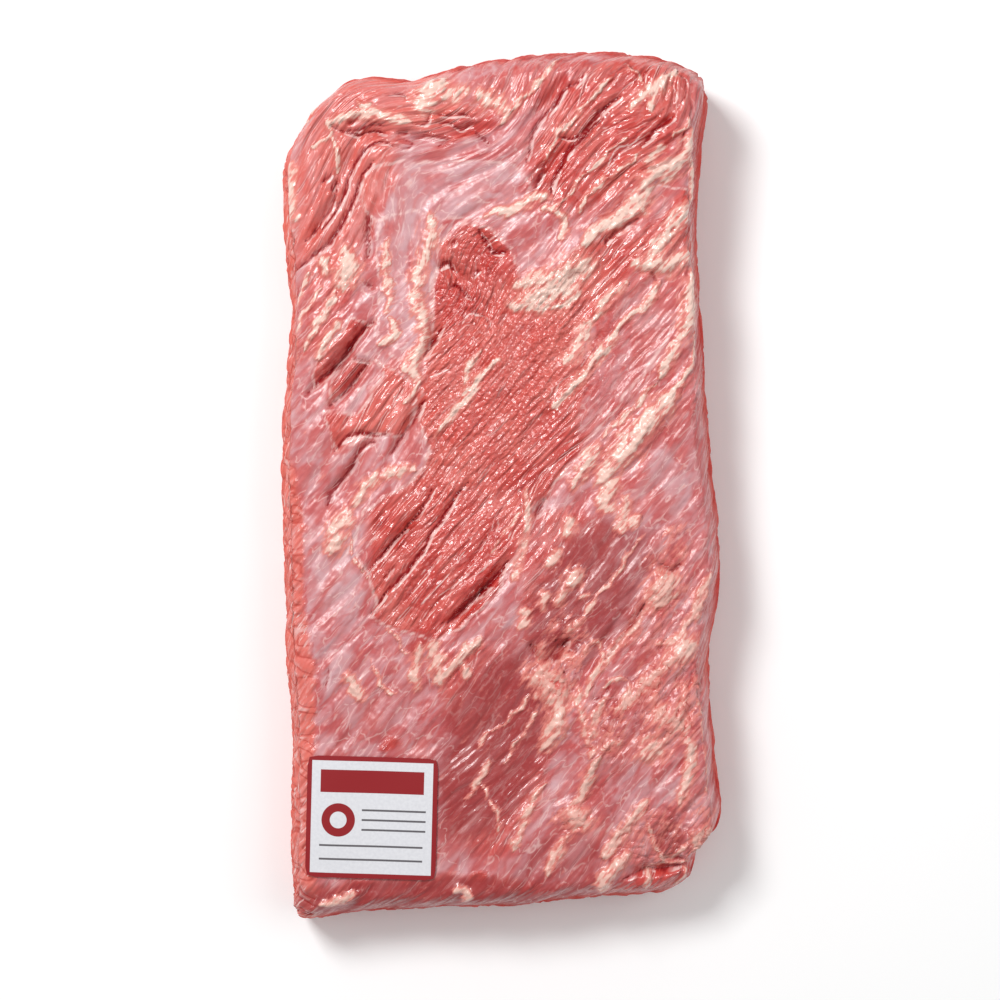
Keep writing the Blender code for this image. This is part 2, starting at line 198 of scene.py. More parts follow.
# Streaks of fat and white sinew that lie on the meat: (strength, width, the points they pass through)
STREAKS = (
    (1, 4.5, ((-70, 146), (-62, 149), (-54, 150), (-45, 148.5), (-37, 147))),
    (0.9, 2.2, ((-71, 147), (-68.5, 141), (-66, 135), (-66, 127))),
    (0.9, 2, ((-76, 138), (-71, 140), (-68, 141))),
    (0.9, 1.8, ((-59, 155), (-56, 152.5), (-52, 153.5))),
    (0.9, 11, ((-32, 153), (-29, 159), (-24, 165))),
    (0.7, 6, ((-23, 156), (-18, 158), (-15, 161))),
    (0.9, 5.5, ((-87, 134), (-86.5, 124), (-84, 108))),
    (0.7, 3, ((-84, 146), (-80, 155), (-74, 160))),
    (0.6, 7, ((-10, 158), (-3, 155), (3, 152))),
    (1, 7.6, (
        (78.5, 144), (76, 137), (71, 131), (64, 127), (59.5, 124), (58, 119), (55, 114), (50, 110),
        (45, 107), (38, 103), (33, 98),
    )),
    (0.9, 4, ((79, 135), (80, 128), (80, 120), (78.5, 116))),
    (0.95, 4, ((-6, 109), (3, 112), (10, 114.5), (14, 117), (20, 116.5))),
    (0.9, 3, ((16, 112), (21, 112.5), (25, 109), (25.5, 104), (24, 100))),
    (0.9, 2.2, ((23, 175), (20, 169), (15, 163), (9, 157), (3, 151), (-1, 146))),
    (1, 4, ((52, 152), (57, 157), (60, 160), (65, 162), (68, 166), (70.5, 172))),
    (0.9, 1.8, ((57, 162), (54, 167), (50.5, 173))),
    (0.9, 3, ((62, 159), (61, 155), (60, 151.5))),
    (0.8, 1.6, ((44, 165), (39, 159), (33, 152), (27, 146), (22, 142), (19.5, 137), (18, 131))),
    (0.8, 1.4, ((50.5, 141), (44, 135), (36, 128), (29, 120), (22.5, 113))),
    (0.8, 1.8, ((55, 133), (48, 128), (40, 122), (34, 116), (31, 110))),
    (0.9, 3.4, ((57, 130.5), (61, 133), (66, 137.5))),
    (0.8, 2.2, ((76.5, 148.5), (73, 144), (69, 141))),
    (1, 5, ((-73, 92), (-70, 88), (-69.5, 86))),
    (1, 8, ((-63, 95), (-61, 89), (-63, 84), (-66, 81))),
    (0.8, 2.4, ((-66, 80), (-70, 73), (-76, 64), (-80, 56))),
    (0.8, 3.6, ((-66, 67), (-68, 62), (-72, 56), (-75, 52))),
    (0.8, 1.8, ((-78, 86), (-81, 78), (-85, 68))),
    (0.8, 1.8, ((-73, 82), (-77, 74), (-82, 66), (-84, 58))),
    (0.8, 4, ((-85, 66), (-85.5, 60), (-85, 53))),
    (0.8, 1.6, ((-66, 77), (-72, 68), (-77, 59))),
    (1, 5.5, ((-31, 60), (-33.5, 54), (-36, 49), (-34, 43))),
    (1, 4, ((-40, 48), (-36, 47), (-33, 44))),
    (0.9, 2.6, ((-33.5, 42), (-36, 37.5), (-38.5, 33.5))),
    (0.95, 4, ((-44, 67), (-42.5, 63), (-46, 59), (-49.5, 57))),
    (0.7, 6, ((-28, 110), (-29, 98), (-33, 88), (-34, 76), (-32, 66), (-30.5, 60))),
    (0.6, 3.5, ((-46, 100), (-47, 88), (-45, 78), (-46, 70))),
    (1, 3.6, ((-0.5, 51.5), (-6, 47), (-10, 42), (-13, 36.5), (-18, 32), (-22, 27), (-26.5, 21.5))),
    (0.9, 2.4, ((-8, 56), (-12, 50), (-14, 43), (-15, 36))),
    (0.85, 5, ((-35, 8), (-42, 6.5), (-50, 4), (-55, 0), (-60, -8))),
    (1, 13, ((34, 90), (26, 84), (18, 77), (10, 75.5))),
    (1, 6, ((24, 84), (14, 83.5), (6, 81))),
    (0.9, 5, ((16, 73), (9, 73), (3, 73.5))),
    (0.9, 3, ((20, 72), (28, 75), (33.5, 79.5))),
    (0.8, 6.5, ((77, 114.5), (68, 103.5), (59, 89.5))),
    (0.9, 3.4, ((64, 82.5), (60, 76), (56, 72), (52, 69))),
    (1, 3.6, ((53, 68.5), (48.5, 66), (46, 61), (42, 56), (37, 50), (33, 45), (28, 40), (21.5, 32))),
    (0.7, 4, ((50, 82), (45, 78), (41, 73), (38, 68))),
    (0.6, 6.5, ((36, 67), (33, 62), (31, 56), (26, 50.5))),
    (0.95, 9, ((79.5, 86), (78, 78), (76, 70), (75, 64))),
    (0.85, 4.5, ((74.5, 63), (71, 57), (67, 50), (64, 45))),
    (0.8, 2.4, ((62, 42), (55, 34), (50, 29), (45, 24), (41, 20))),
    (1, 2.4, ((81, 62), (79, 54), (76, 47), (72, 41), (69, 37))),
    (1, 9.5, ((70, 38), (62, 30), (55, 21.5), (50, 15), (44, 8.5), (40, 2))),
    (0.8, 8, ((75, 94), (68, 90), (60, 90), (53, 92))),
    (0.85, 7, ((45, 2), (43, -4), (42, -9))),
    (0.7, 6, ((39, 18), (34, 9), (28, 0))),
    (0.8, 8, ((-61, -10), (-66, -17), (-68, -26))),
    (0.9, 1.4, ((-60.5, -18), (-60.5, -26), (-57.5, -33), (-53.5, -37))),
    (0.8, 1.4, ((-45.5, -57), (-42, -60.5), (-39, -66), (-35.5, -68))),
    (0.8, 1.6, ((-53.5, -70), (-50, -77), (-46, -83), (-42, -83))),
    (0.9, 5.5, ((-62, -77), (-59, -81), (-57, -86))),
    (0.8, 4, ((-33, -64), (-34.5, -72), (-35, -82))),
    (0.85, 6, ((-27, -62), (-26, -72), (-25, -80))),
    (0.9, 4, ((-8, -61), (-14, -66), (-20, -73), (-26, -78))),
    (0.85, 2.6, ((-15, -70), (-13.5, -74), (-14.5, -78))),
    (0.8, 2, ((-4, -111), (-9, -118), (-14, -126))),
    (0.8, 1.4, ((-9, -119), (-5, -126), (-1, -133), (-2, -143))),
    (0.7, 1.6, ((-9, -104), (-4, -98))),
    (0.8, 3, ((-19, -164), (-15, -163), (-13, -167), (-16, -171))),
    (0.8, 4, ((-73, -171), (-65, -168), (-60, -165))),
    (0.95, 5, ((28, -12), (27, -19))),
    (0.85, 4, ((23.5, -25), (21, -30), (19, -33))),
    (0.95, 6.5, ((31, -35), (28, -38.5))),
    (0.85, 5, ((26, -42), (22, -47))),
    (0.85, 3.5, ((18, -42), (17, -49))),
    (0.8, 2, ((36, -43.5), (31, -45.5))),
    (0.85, 3.2, ((33, -53), (28, -57.5))),
    (0.85, 4.5, ((10.5, -50), (8, -57))),
    (0.8, 5, ((51, -5), (50, -11), (48, -18))),
    (0.8, 3.5, ((56, -11), (52, -17))),
    (0.8, 1.6, ((57, -20), (52, -27), (45, -37), (39, -44), (33, -52))),
    (0.9, 3, ((59, -50), (54, -56), (49, -62), (44, -68), (38, -75), (34, -84))),
    (0.95, 11, ((69, -36), (65, -42), (62, -47))),
    (0.85, 3.6, ((86, -35), (80, -46), (76, -55), (70, -62), (64, -63))),
    (0.95, 8.5, ((78, -63), (72, -67), (67, -72))),
    (0.85, 5, ((66, -73), (60, -78), (54, -84), (46, -90))),
    (0.8, 1.8, ((33, -69), (35.5, -63), (38.5, -62.5), (41, -69))),
    (0.8, 1.8, ((42, -80.5), (46, -77.5), (50, -78), (53, -84))),
    (0.9, 13, ((15, -75), (20, -80), (24, -88))),
    (0.85, 7, ((24, -88), (22, -96), (18, -106))),
    (0.8, 3, ((31, -80), (33, -92), (35, -103), (37, -110))),
    (0.8, 3.5, ((42, -86), (38, -94), (37, -102))),
    (0.85, 3.5, ((50, -104), (45, -104), (40, -106))),
    (0.9, 4.5, ((40, -109), (36, -117), (33, -124), (29, -129))),
    (0.95, 9.5, ((28, -132), (33, -136))),
    (0.85, 4, ((27, -141), (23, -148), (19, -157))),
    (0.85, 9, ((62, -92), (70, -94), (75, -98))),
    (0.85, 10, ((59, -106), (64, -104))),
    (0.8, 4.5, ((76, -101), (77, -112), (74.5, -122), (72, -128))),
    (0.95, 5, ((59, -127), (55, -132), (50, -138), (46, -144), (42, -150))),
    (0.95, 6, ((52, -148), (47, -153), (42, -160), (41, -167))),
    (0.8, 2, ((59, -135), (61, -141), (63, -147), (66, -151.5))),
    (0.8, 2, ((66, -151.5), (71, -149), (75, -145))),
    (0.85, 6, ((87, -139), (81, -142), (79, -148))),
    (0.8, 2, ((78, -152), (70, -153), (62, -153))),
    (0.7, 1.4, ((80, -85), (82, -100), (84, -110), (85, -122), (86, -135))),
    (0.8, 2, ((60, -155), (59, -167))),
    (0.8, 2, ((77, -155), (72, -168))),
    (0.7, 3, ((18, -120), (13, -127), (9, -137), (5, -147))),
    (0.7, 1.4, ((0, -112), (8, -101), (15, -90))),
    (0.7, 1.4, ((-3, -100), (5, -92), (12, -84))),
    (0.8, 1.2, ((7, -9), (4, -16), (0, -20), (-3, -28))),
    (0.7, 3, ((10, 0), (11, -10), (10, -20), (8, -28), (5, -38))),
)

# Creases between the muscle's parts, each with a dark line of painted shade: (depth, width, the points they
# pass through)
CREASES = (
    (2.4, 3.2, (
        (-84, 88), (-76, 93.5), (-70, 98.5), (-65, 105), (-61, 113), (-57.5, 121), (-55, 127), (-51.5, 131),
    )),
    (2, 2.6, (
        (-73, 104), (-68, 110), (-64, 117), (-61.5, 125), (-57.5, 133), (-53, 137.5), (-47, 138.5),
        (-43.5, 137),
    )),
    (1.6, 2.2, ((-80, 99), (-75, 104.5), (-71, 110), (-67.5, 117), (-66, 123))),
    (1.6, 2.6, ((-72, 123), (-68.5, 126.5))),
    (1.6, 2.6, ((-69, 119.5), (-67, 123.5))),
    (1.8, 2.4, ((-69, 145), (-62, 143), (-56, 144), (-51, 146), (-47, 145))),
    (2.2, 3, ((-61.5, 146), (-58.5, 148), (-56.5, 150))),
    (1.8, 2.2, ((-64, 143), (-57, 141.5), (-52, 143), (-46.5, 142))),
    (1.6, 2.4, ((-41.5, 142), (-37, 142.8))),
    (1.6, 2.2, ((-35, 146), (-30, 146.5), (-28.5, 151))),
    (1.8, 2.4, ((-25, 146.5), (-21, 146.5), (-17, 144.5), (-13, 146), (-10.5, 147))),
    (1.5, 2, ((-28, 150), (-21, 149.5), (-16, 150), (-11, 149))),
    (1.4, 2, ((-44, 139), (-40, 140), (-35, 139), (-31, 141), (-24, 140.5), (-20, 140.5))),
    (1.4, 2, ((-25, 136.8), (-21, 140.5))),
    (2.4, 3.4, ((-10, 143), (-7, 140), (-5, 138.5))),
    (1.3, 1.8, ((-42, 137), (-38, 136), (-35, 138.5))),
    (1.6, 2.2, ((-46, 158), (-42, 159), (-38.8, 158.3), (-38.2, 156))),
    (1, 1.8, ((-44, 160.5), (-39, 161))),
    (1.8, 4.5, ((-53.5, 110), (-54, 101), (-53, 92))),
    (2.2, 2.8, ((27, 161.5), (22, 155), (17, 149), (13, 144), (11.5, 138), (10, 131))),
    (1.4, 2.2, ((35, 170.5), (33, 166), (30, 162), (27, 160))),
    (1.2, 1.6, ((51, 175), (52, 172), (54, 168))),
    (1.2, 1.8, ((60.5, 172), (58.5, 168), (57, 163))),
    (1.2, 1.8, ((81, 169.5), (80.3, 166))),
    (1.2, 1.8, ((71, 169), (74, 165), (74.2, 158), (71, 152))),
    (1, 1.6, ((69, 163), (69.5, 159), (68.5, 155))),
    (2, 2.8, ((48, 157), (43, 153), (38, 149), (34, 144), (30, 141), (23, 141))),
    (2.4, 3.2, ((40, 148), (33, 141), (27, 134.5), (23.5, 129), (21.5, 124), (20, 118.5))),
    (1.8, 2.4, ((17.5, 130), (15.5, 124), (13, 119))),
    (1.4, 2, ((12, 126), (12.5, 121.5))),
    (2, 3, ((69.5, 149), (64, 145), (60, 141), (56, 137))),
    (2, 3, ((74.5, 143), (73, 137.5), (68, 132), (62, 128.5), (56, 128))),
    (1.6, 2.4, ((57, 123), (50, 116), (44, 111), (38, 107), (33, 103))),
    (2.2, 3, ((56, 108.5), (50, 105), (45, 101.5), (42, 98))),
    (1, 1.6, ((66, 152), (58, 145), (50, 137), (42, 129), (35, 121), (29, 113))),
    (4, 4.6, ((-78.5, 38.5), (-73, 44), (-68, 48), (-64, 53), (-60, 59), (-56, 64), (-51.8, 66.8))),
    (2.8, 3.4, ((-69.5, 32.5), (-64.5, 37.5), (-60, 42), (-57, 47), (-53.2, 50.5))),
    (1.6, 2.4, ((-60.5, 51.8), (-56, 51), (-53, 50.3))),
    (2, 3.2, ((-67.5, 14.5), (-62, 20), (-57, 22), (-51, 21), (-46.5, 21.5))),
    (2.4, 3, ((-67.5, -0.5), (-62, 6), (-59, 12), (-56, 16), (-50, 19))),
    (2.4, 3, ((-45, 12.5), (-43, 16), (-39, 21), (-36, 27), (-33, 31), (-30.5, 35.5))),
    (1.4, 2, ((-37, 33), (-33, 38.5))),
    (2, 2.8, ((-31, 52), (-29, 57), (-26, 61), (-23.5, 65))),
    (1.2, 2, ((-28.5, 66), (-27, 70.5))),
    (1.4, 2, ((-31, 45), (-26, 46.5), (-21.5, 49))),
    (2.2, 3, ((-25.5, 88.5), (-21, 90.5), (-19, 87))),
    (2.2, 2.6, ((-21.5, 80.5), (-18, 82), (-15, 79), (-11.5, 75.5))),
    (1.4, 2, ((-17, 76.5), (-13, 77.5))),
    (1.6, 2.2, ((-11.5, 85), (-9, 88.5))),
    (1.6, 2.2, ((-20, 97), (-18, 100))),
    (2.4, 3.2, ((-9, 104), (-6.5, 99.5), (-3, 95), (2, 95))),
    (1.4, 2, ((-12, 70.5), (-8, 70), (-5.5, 67), (-5, 63))),
    (1.2, 1.6, ((-17, 66), (-14, 70.5), (-10, 71.5))),
    (1, 1.6, ((-19, 62), (-15, 66), (-11, 66.5), (-8, 63))),
    (2, 3, ((-55, 82), (-51.5, 80.5))),
    (1.8, 3, ((27, 83.5), (30, 86.5), (33, 86))),
    (2, 3, ((63, 83), (60, 87), (56, 86.5))),
    (1.4, 2.2, ((82, 80), (82.5, 75))),
    (2.2, 3, ((-70.5, -7), (-69, -2), (-65.5, 3.5))),
    (2, 2.4, (
        (-55, -35), (-50, -29), (-45, -23), (-40, -18), (-37, -14), (-33, -10), (-30, -5), (-27.5, 0),
    )),
    (2.8, 2.8, (
        (-53, -52), (-50, -47), (-46, -42), (-42, -38), (-37, -32), (-33, -27), (-30, -22), (-28, -18),
        (-24, -13), (-21, -8), (-18, -3), (-13, 2.5),
    )),
    (2.6, 5, ((-22, -55), (-17, -50), (-12, -45.5), (-6, -40), (-1, -35), (2.5, -30))),
    (1.4, 1.8, ((-48, -37.5), (-43, -31))),
    (1.1, 1.6, ((-47, -54), (-40, -46), (-33, -38), (-27, -30), (-22, -23), (-18, -16))),
    (1.1, 1.6, ((-42, -57), (-35, -49), (-28, -41), (-22, -34), (-17, -27), (-12, -19), (-9, -11))),
    (1.1, 1.6, ((-36, -59), (-29, -50), (-22, -42), (-15, -34), (-9, -25), (-5, -15))),
    (1.1, 1.6, ((-28, -60), (-23, -53))),
    (1.2, 1.8, ((-13, -55), (-5, -46), (1, -39), (7, -30), (10, -20))),
    (1.2, 1.6, ((-8, -63), (-12, -68), (-16, -73), (-21, -77.5))),
    (1.2, 1.6, ((-29, -67.5), (-30, -77), (-29, -85))),
    (1.4, 2.6, ((-70, -73), (-71, -81))),
    (3, 4, ((18, -4.5), (15.5, -8), (13.5, -12))),
    (1.4, 2, ((30.5, -41), (32.5, -38))),
    (2.2, 2.6, ((58.5, -47), (54, -55), (49, -60.5), (45, -66), (41.5, -70))),
    (2.4, 4, ((65, -31.5), (69, -33.5), (73, -31))),
    (2.6, 5, ((12, -64), (17, -69), (23, -68), (27, -62))),
    (1.6, 2.2, ((24, -71.5), (27, -80), (28, -87))),
    (1.6, 2.4, ((36, -86), (40, -85), (44, -80))),
    # The shade under the flap at the thin end's right corner is painted here too
    (2.6, 3.4, ((67, -151), (70, -150.5), (74, -151.5))),
    (1.6, 2, ((60, -155.5), (66, -156), (72, -154.5), (77, -154))),
    (1.4, 2, ((50, -160), (55, -157.5), (60, -155.5))),
    (1.4, 2.4, ((81, -158), (83, -150))),
)

# How thick the silvery skin is, in sheets painted one over another: (level, softness of edge, outline)
FILM_BASE = 0.88
SHEETS = (
    (0, 1.6, (
        (-60, -23.6), (-55.1, -8.8), (-38.2, 0.6), (-28, 14), (-33, 26), (-34, 38), (-30, 52), (-27.5, 66),
        (-27, 84), (-24.5, 98), (-14, 107), (-4, 104), (4, 96), (8, 84), (20, 88), (34, 98), (50, 108),
        (62, 122), (76, 120), (82, 100), (80, 84), (70, 66), (60, 50), (48, 34), (38, 22), (24, 4),
        (11, -11), (7.4, -26.9), (-3.3, -45), (-20.1, -59.4), (-27.5, -61.9), (-39.5, -58.6),
        (-46.9, -56.1), (-52.6, -52.4), (-50.6, -45), (-53.8, -35.6),
    )),
    (0.1, 1.6, ((-76, 40), (-70, 44), (-52, 66), (-60, 68), (-68, 60), (-76, 48))),
    (0.1, 1.6, ((-70, 33), (-62, 40), (-52, 50), (-60, 52), (-68, 44))),
    (0.05, 1.6, (
        (-72, 30), (-58, 30), (-47, 45), (-50, 51), (-38, 44), (-31, 38), (-40, 20), (-52, 22), (-66, 14),
    )),
    (1, 1.2, (
        (-56, 122), (-55, 112), (-50, 107), (-24, 108), (-12, 108), (0, 110), (10, 113), (12, 122),
        (5, 130), (-10, 131), (-28, 131), (-42, 131), (-50, 129),
    )),
    (1, 1.2, (
        (-50.5, 107), (-49, 80), (-51, 62), (-46, 55), (-40, 50), (-33, 54), (-29, 66), (-28, 85),
        (-25, 98), (-24, 108), (-36, 112),
    )),
    (0.3, 3, (
        (12, -12), (28, -8), (40, -12), (58, -20), (62, -32), (57, -47), (48, -61), (42, -70), (30, -70),
        (18, -70), (10, -62), (8, -45), (9, -28),
    )),
    (0.25, 3, (
        (-22, -66), (-8, -62), (5, -68), (14, -72), (22, -90), (19, -108), (18, -119), (9, -137), (4, -148),
        (-10, -150), (-22, -140), (-24, -120), (-20, -100), (-24, -82),
    )),
    (0.1, 2, ((50, -160), (60, -156), (76, -154), (84, -150), (80, -166), (60, -169), (40, -170))),
)

# Softer patches of that skin, painted over the sheets: (x, y, half length, half width, angle, value)
FILM_PATCHES = (
    (38, 33, 13, 6, 60, 0.8),
    (33, 59, 9, 5, 70, 0.8),
    (-66, 124, 40, 22, 62, 0.28),
    (-54, 156, 40, 18, 14, 0.34),
    (65, 118, 24, 6, 50, 0.6),
    (-71, 78, 36, 12, 64, 0.35),
    (85, 96, 72, 5, 90, 0.2),
    (14, 164, 26, 13, 20, 0.35),
    (60, 45, 55, 26, 78, 0.6),
    (58, -85, 70, 32, 85, 0.6),
    (40, -148, 26, 20, 40, 0.6),
    (-30, -166, 60, 9, 2, 0.15),
    (-20, 147, 20, 8, 0, 0.15),
    (45, 146, 46, 27, 48, 0),
    (56, -16, 20, 8, 60, 0.9),
    (75, -48, 16, 6, 70, 0.85),
    (69, 1, 19, 7.5, -66, 1),
    (-68, -45, 46, 13, 78, 0.98),
    (26, -116, 11, 6, 75, 0.95),
    (51, -128, 20, 9, 70, 0.95),
    (67, -122, 12, 7, 60, 0.9),
    (68, -142, 9, 6, 80, 0.2),
    (-33, -63.5, 6, 4, 20, 0.2),
    (-45.5, -104.5, 5, 3, 30, 0),
    (-9, -158, 4, 3, 0, 0),
)
# Dusk is the darker, rosier muscle that shows through thin skin, and also painted shade along the thin end's
# edge below the label, as patches in the same form
DUSK_BASE = 0.12
DUSK_AND_SHADE_PATCHES = (
    (-4, -104, 50, 24, 64, 1),
    (36, -42, 40, 22, 58, 1),
    (68, -142, 10, 7, 80, 0.9),
    (-33, -63.5, 7, 5, 20, 0.5),
    # Painted shade along the thin end's edge, below the label
    (-30, -170, 70, 13, 2, 1),
    (26, -156, 26, 16, 5, 0.8),
    (50, -105, 40, 14, 80, 0.45),
    (72, 5, 34, 12, 88, 0.35),
    (-52, -100, 30, 22, 60, 0.4),
)
# The unrolled right edge of the coarse fibres down the left side: (place along the side, x)
LEFT_BAND = (
    (-178, -75), (-110, -76), (-75, -75), (-65, -77), (-55, -79), (-45, -80.5),
    (-15, -80), (3, -83), (20, -88),
)
# Painted light: where the lean is painted brighter, as if more lit, as patches in the same form
PAINTED_LIGHT_PATCHES = (
    (-66, 122, 46, 24, 62, 0.7),
    (-50, 156, 46, 20, 10, 0.7),
    (-45, 30, 40, 20, 55, 0.4),
    (4, 46, 70, 26, 60, 0.25),
)
# Where lean is grainy, as cut across, instead of stringy
GRAINY_PATCHES = (
    (0, 40, 60, 30, 62, 0.7),
    (-14, 84, 24, 14, 75, 0.8),
    (44, 54, 34, 16, 52, 0.4),
    (-23, -28, 44, 22, 50, 0.35),
)
# Where soft fat has worm-like wrinkles
WRINKLED_PATCHES = (
    (67, -86, 20, 18, 50, 1),
    (24, -68, 20, 12, 75, 1),
    (42, -98, 16, 10, 80, 0.9),
    (28, -133, 10, 8, 0, 0.9),
    (68, -140, 26, 14, 20, 0.7),
    (66, -54, 24, 12, 45, 0.6),
    (68, -26, 14, 9, 55, 0.8),
)

# The paper label that lies on the meat
LABEL_PLACE = (-52.5, -134.0)
LABEL_WIDTH = 53.0
LABEL_HEIGHT = 49.5
LABEL_TURN = -1.5
LABEL_CORNER = 1.5
LABEL_THICKNESS = 0.4
LABEL_CELLS = 12
LABEL_CUTS = 3
LABEL_SMOOTHINGS = 12
# How far the sheet stays below its solid's top, and how the solid is felt for: the share in from its rim,
# so that it isn't missed there, and the height that the feeling starts from
LABEL_SLACK = 0.02
LABEL_FEEL_IN = 0.012
LABEL_FEEL_FROM = 100.0
PRESSED_REACH = 6.0


def hashed(ix, iy, seed):
    """A repeatable number from 0 to 1 for each whole-number square."""
    n = np.sin(ix * 127.1 + iy * 311.7 + seed * 74.7) * 43758.5453
    return n - np.floor(n)


def noise(x, y, seed):
    """Smooth noise from -1 to 1, with waves about one unit long."""
    ix, iy = np.floor(x), np.floor(y)
    fx, fy = x - ix, y - iy
    fx, fy = fx * fx * (3 - 2 * fx), fy * fy * (3 - 2 * fy)
    low = hashed(ix, iy, seed) * (1 - fx) + hashed(ix + 1, iy, seed) * fx
    high = hashed(ix, iy + 1, seed) * (1 - fx) + hashed(ix + 1, iy + 1, seed) * fx
    return 2 * (low * (1 - fy) + high * fy) - 1


def ripple(x, y, seed):
    """Rounder noise from about -1 to 1, made from a random slope at each corner of the squares."""
    ix, iy = np.floor(x), np.floor(y)
    fx, fy = x - ix, y - iy
    total = 0
    for i in (0, 1):
        for j in (0, 1):
            turn = 2 * np.pi * hashed(ix + i, iy + j, seed)
            slope = np.cos(turn) * (fx - i) + np.sin(turn) * (fy - j)
            wx = fx**3 * (fx * (6 * fx - 15) + 10)
            wy = fy**3 * (fy * (6 * fy - 15) + 10)
            total = total + slope * (wx if i else 1 - wx) * (wy if j else 1 - wy)
    return 1.5 * total


def cell_gap(x, y, seed):
    """How far a point is from the border of its scattered cell: 0 on the border."""
    ix, iy = np.floor(x), np.floor(y)
    first = np.full(x.shape, 9.0)
    second = np.full(x.shape, 9.0)
    for i in (-1, 0, 1):
        for j in (-1, 0, 1):
            px = ix + i + hashed(ix + i, iy + j, seed)
            py = iy + j + hashed(ix + i, iy + j, seed + 1)
            d = np.hypot(x - px, y - py)
            second = np.minimum(second, np.maximum(first, d))
            first = np.minimum(first, d)
    return second - first


def smoothstep(low, high, value):
    t = np.clip((value - low) / (high - low), 0, 1)
    return t * t * (3 - 2 * t)


def turned(dx, dy, angle):
    """A step measured along and across a direction that is given in radians."""
    return dx * np.cos(angle) + dy * np.sin(angle), dy * np.cos(angle) - dx * np.sin(angle)


def from_stretch(x, y, start, end):
    """Each place's distance from a straight stretch, and how far along the stretch it is, from 0 to 1."""
    (ax, ay), (bx, by) = start, end
    length2 = (bx - ax) ** 2 + (by - ay) ** 2
    t = np.clip(((x - ax) * (bx - ax) + (y - ay) * (by - ay)) / length2, 0, 1)
    return np.hypot(x - ax - t * (bx - ax), y - ay - t * (by - ay)), t


def curve_through(points, share):
    """Points of a smooth curve through the given ones. share runs from 0 to 1 along it."""
    points = np.array(points, float)
    steps = np.hypot(*np.diff(points, axis=0).T)
    at = np.concatenate([[0], np.cumsum(steps)]) / steps.sum()
    slopes = np.gradient(points, at, axis=0)
    k = np.clip(np.searchsorted(at, share) - 1, 0, len(at) - 2)
    h = (at[k + 1] - at[k])[:, None]
    t = np.clip((share - at[k])[:, None] / h, 0, 1)
    return (
        (2 * t**3 - 3 * t**2 + 1) * points[k]
        + (t**3 - 2 * t**2 + t) * h * slopes[k]
        + (3 * t**2 - 2 * t**3) * points[k + 1]
        + (t**3 - t**2) * h * slopes[k + 1]
    )


def plan(across, along):
    """Plan position for shares from -1 to 1 across and along the meat, blended from its four sides."""
    left = [(step - WIDTH / 2, y) for y, step in LEFT_SIDE]
    right = [(WIDTH / 2 - step, y) for y, step in RIGHT_SIDE]
    thick = [(x, LENGTH / 2 - step) for x, step in THICK_SIDE]
    thin = [(x, step - LENGTH / 2) for x, step in THIN_SIDE]
    u, v = (1 + across) / 2, (1 + along) / 2
    left_at, right_at = curve_through(left, v), curve_through(right, v)
    thin_at, thick_at = curve_through(thin, u), curve_through(thick, u)
    u, v = u[:, None], v[:, None]
    corners = (1 - v) * ((1 - u) * np.array(left[0]) + u * np.array(right[0]))
    corners = corners + v * ((1 - u) * np.array(left[-1]) + u * np.array(right[-1]))
    return (1 - v) * thin_at + v * thick_at + (1 - u) * left_at + u * right_at - corners


def thickness(x, y):
    """Height of the top, before it rolls over at the edges and before its grain."""
    middle = (THICK_END + THIN_END) / 2
    height = middle + (THICK_END - THIN_END) * y / LENGTH - CROWN * (2 * x / WIDTH) ** 2
    for rise, length, seed in LONG_WAVES:
        height = height + rise * noise(x / length, y / length, seed)
    for cx, cy, reach, rise in SWELLS:
        height = height + rise * np.exp(-((x - cx) ** 2 + (y - cy) ** 2) / (2 * reach**2))
    return height


def skin(cage):
    """Places cage points, each coordinate from -1 to 1, on the smooth body, and unrolls its skin flat.

    Gives the points, their flat places, how far they are below the top, and how much they face left or right.
    """
    a, b, c = cage.T
    down = np.clip((1 - c) / 2, 0, 1)
    waver = FOOT_WAVER * noise(a * WIDTH / 2 / FOOT_WAVE, b * LENGTH / 2 / FOOT_WAVE, 7)
    inset = (FOOT_INSET + waver) * down**3 - SIDE_BULGE * np.sin(np.pi * down)
    across = (a + EDGE_CROWDING * np.sin(np.pi * a) / np.pi) * (1 - 2 * inset / WIDTH)
    along = (b + EDGE_CROWDING * np.sin(np.pi * b) / np.pi) * (1 - 2 * inset / LENGTH)
    x, y = plan(across, along).T
    top = thickness(x, y)
    edge = WIDEST_AT * top
    roll_x = np.where(across < 0, LEFT_ROLL, RIGHT_ROLL)
    roll_y = np.where(along < 0, THIN_END_ROLL, THICK_END_ROLL)
    near_x = np.clip(1 - (1 - abs(across)) * WIDTH / 2 / roll_x, 0, 1)
    near_y = np.clip(1 - (1 - abs(along)) * LENGTH / 2 / roll_y, 0, 1)
    rolled = np.clip((near_x**ROLL_POWER + near_y**ROLL_POWER) ** (1 / ROLL_POWER), 0, 1)
    on_top = c > 0.999
    z = np.where(on_top, edge + (top - edge) * np.sqrt(1 - rolled**2), edge * (1 - down))
    drop_x = np.where(on_top, (top - edge) * (1 - np.sqrt(1 - near_x**2)), top - z)
    drop_y = np.where(on_top, (top - edge) * (1 - np.sqrt(1 - near_y**2)), top - z)
    side_x, side_y = smoothstep(UNROLL_FROM, 1, abs(a)), smoothstep(UNROLL_FROM, 1, abs(b))
    share_x = side_x / (side_x + side_y + 1e-9)
    flat_x = x + np.sign(a) * SKIN_DROP * drop_x * share_x
    flat_y = y + np.sign(b) * SKIN_DROP * drop_y * (1 - share_x)
    return np.stack([x, y, z], 1), flat_x, flat_y, top - z, share_x


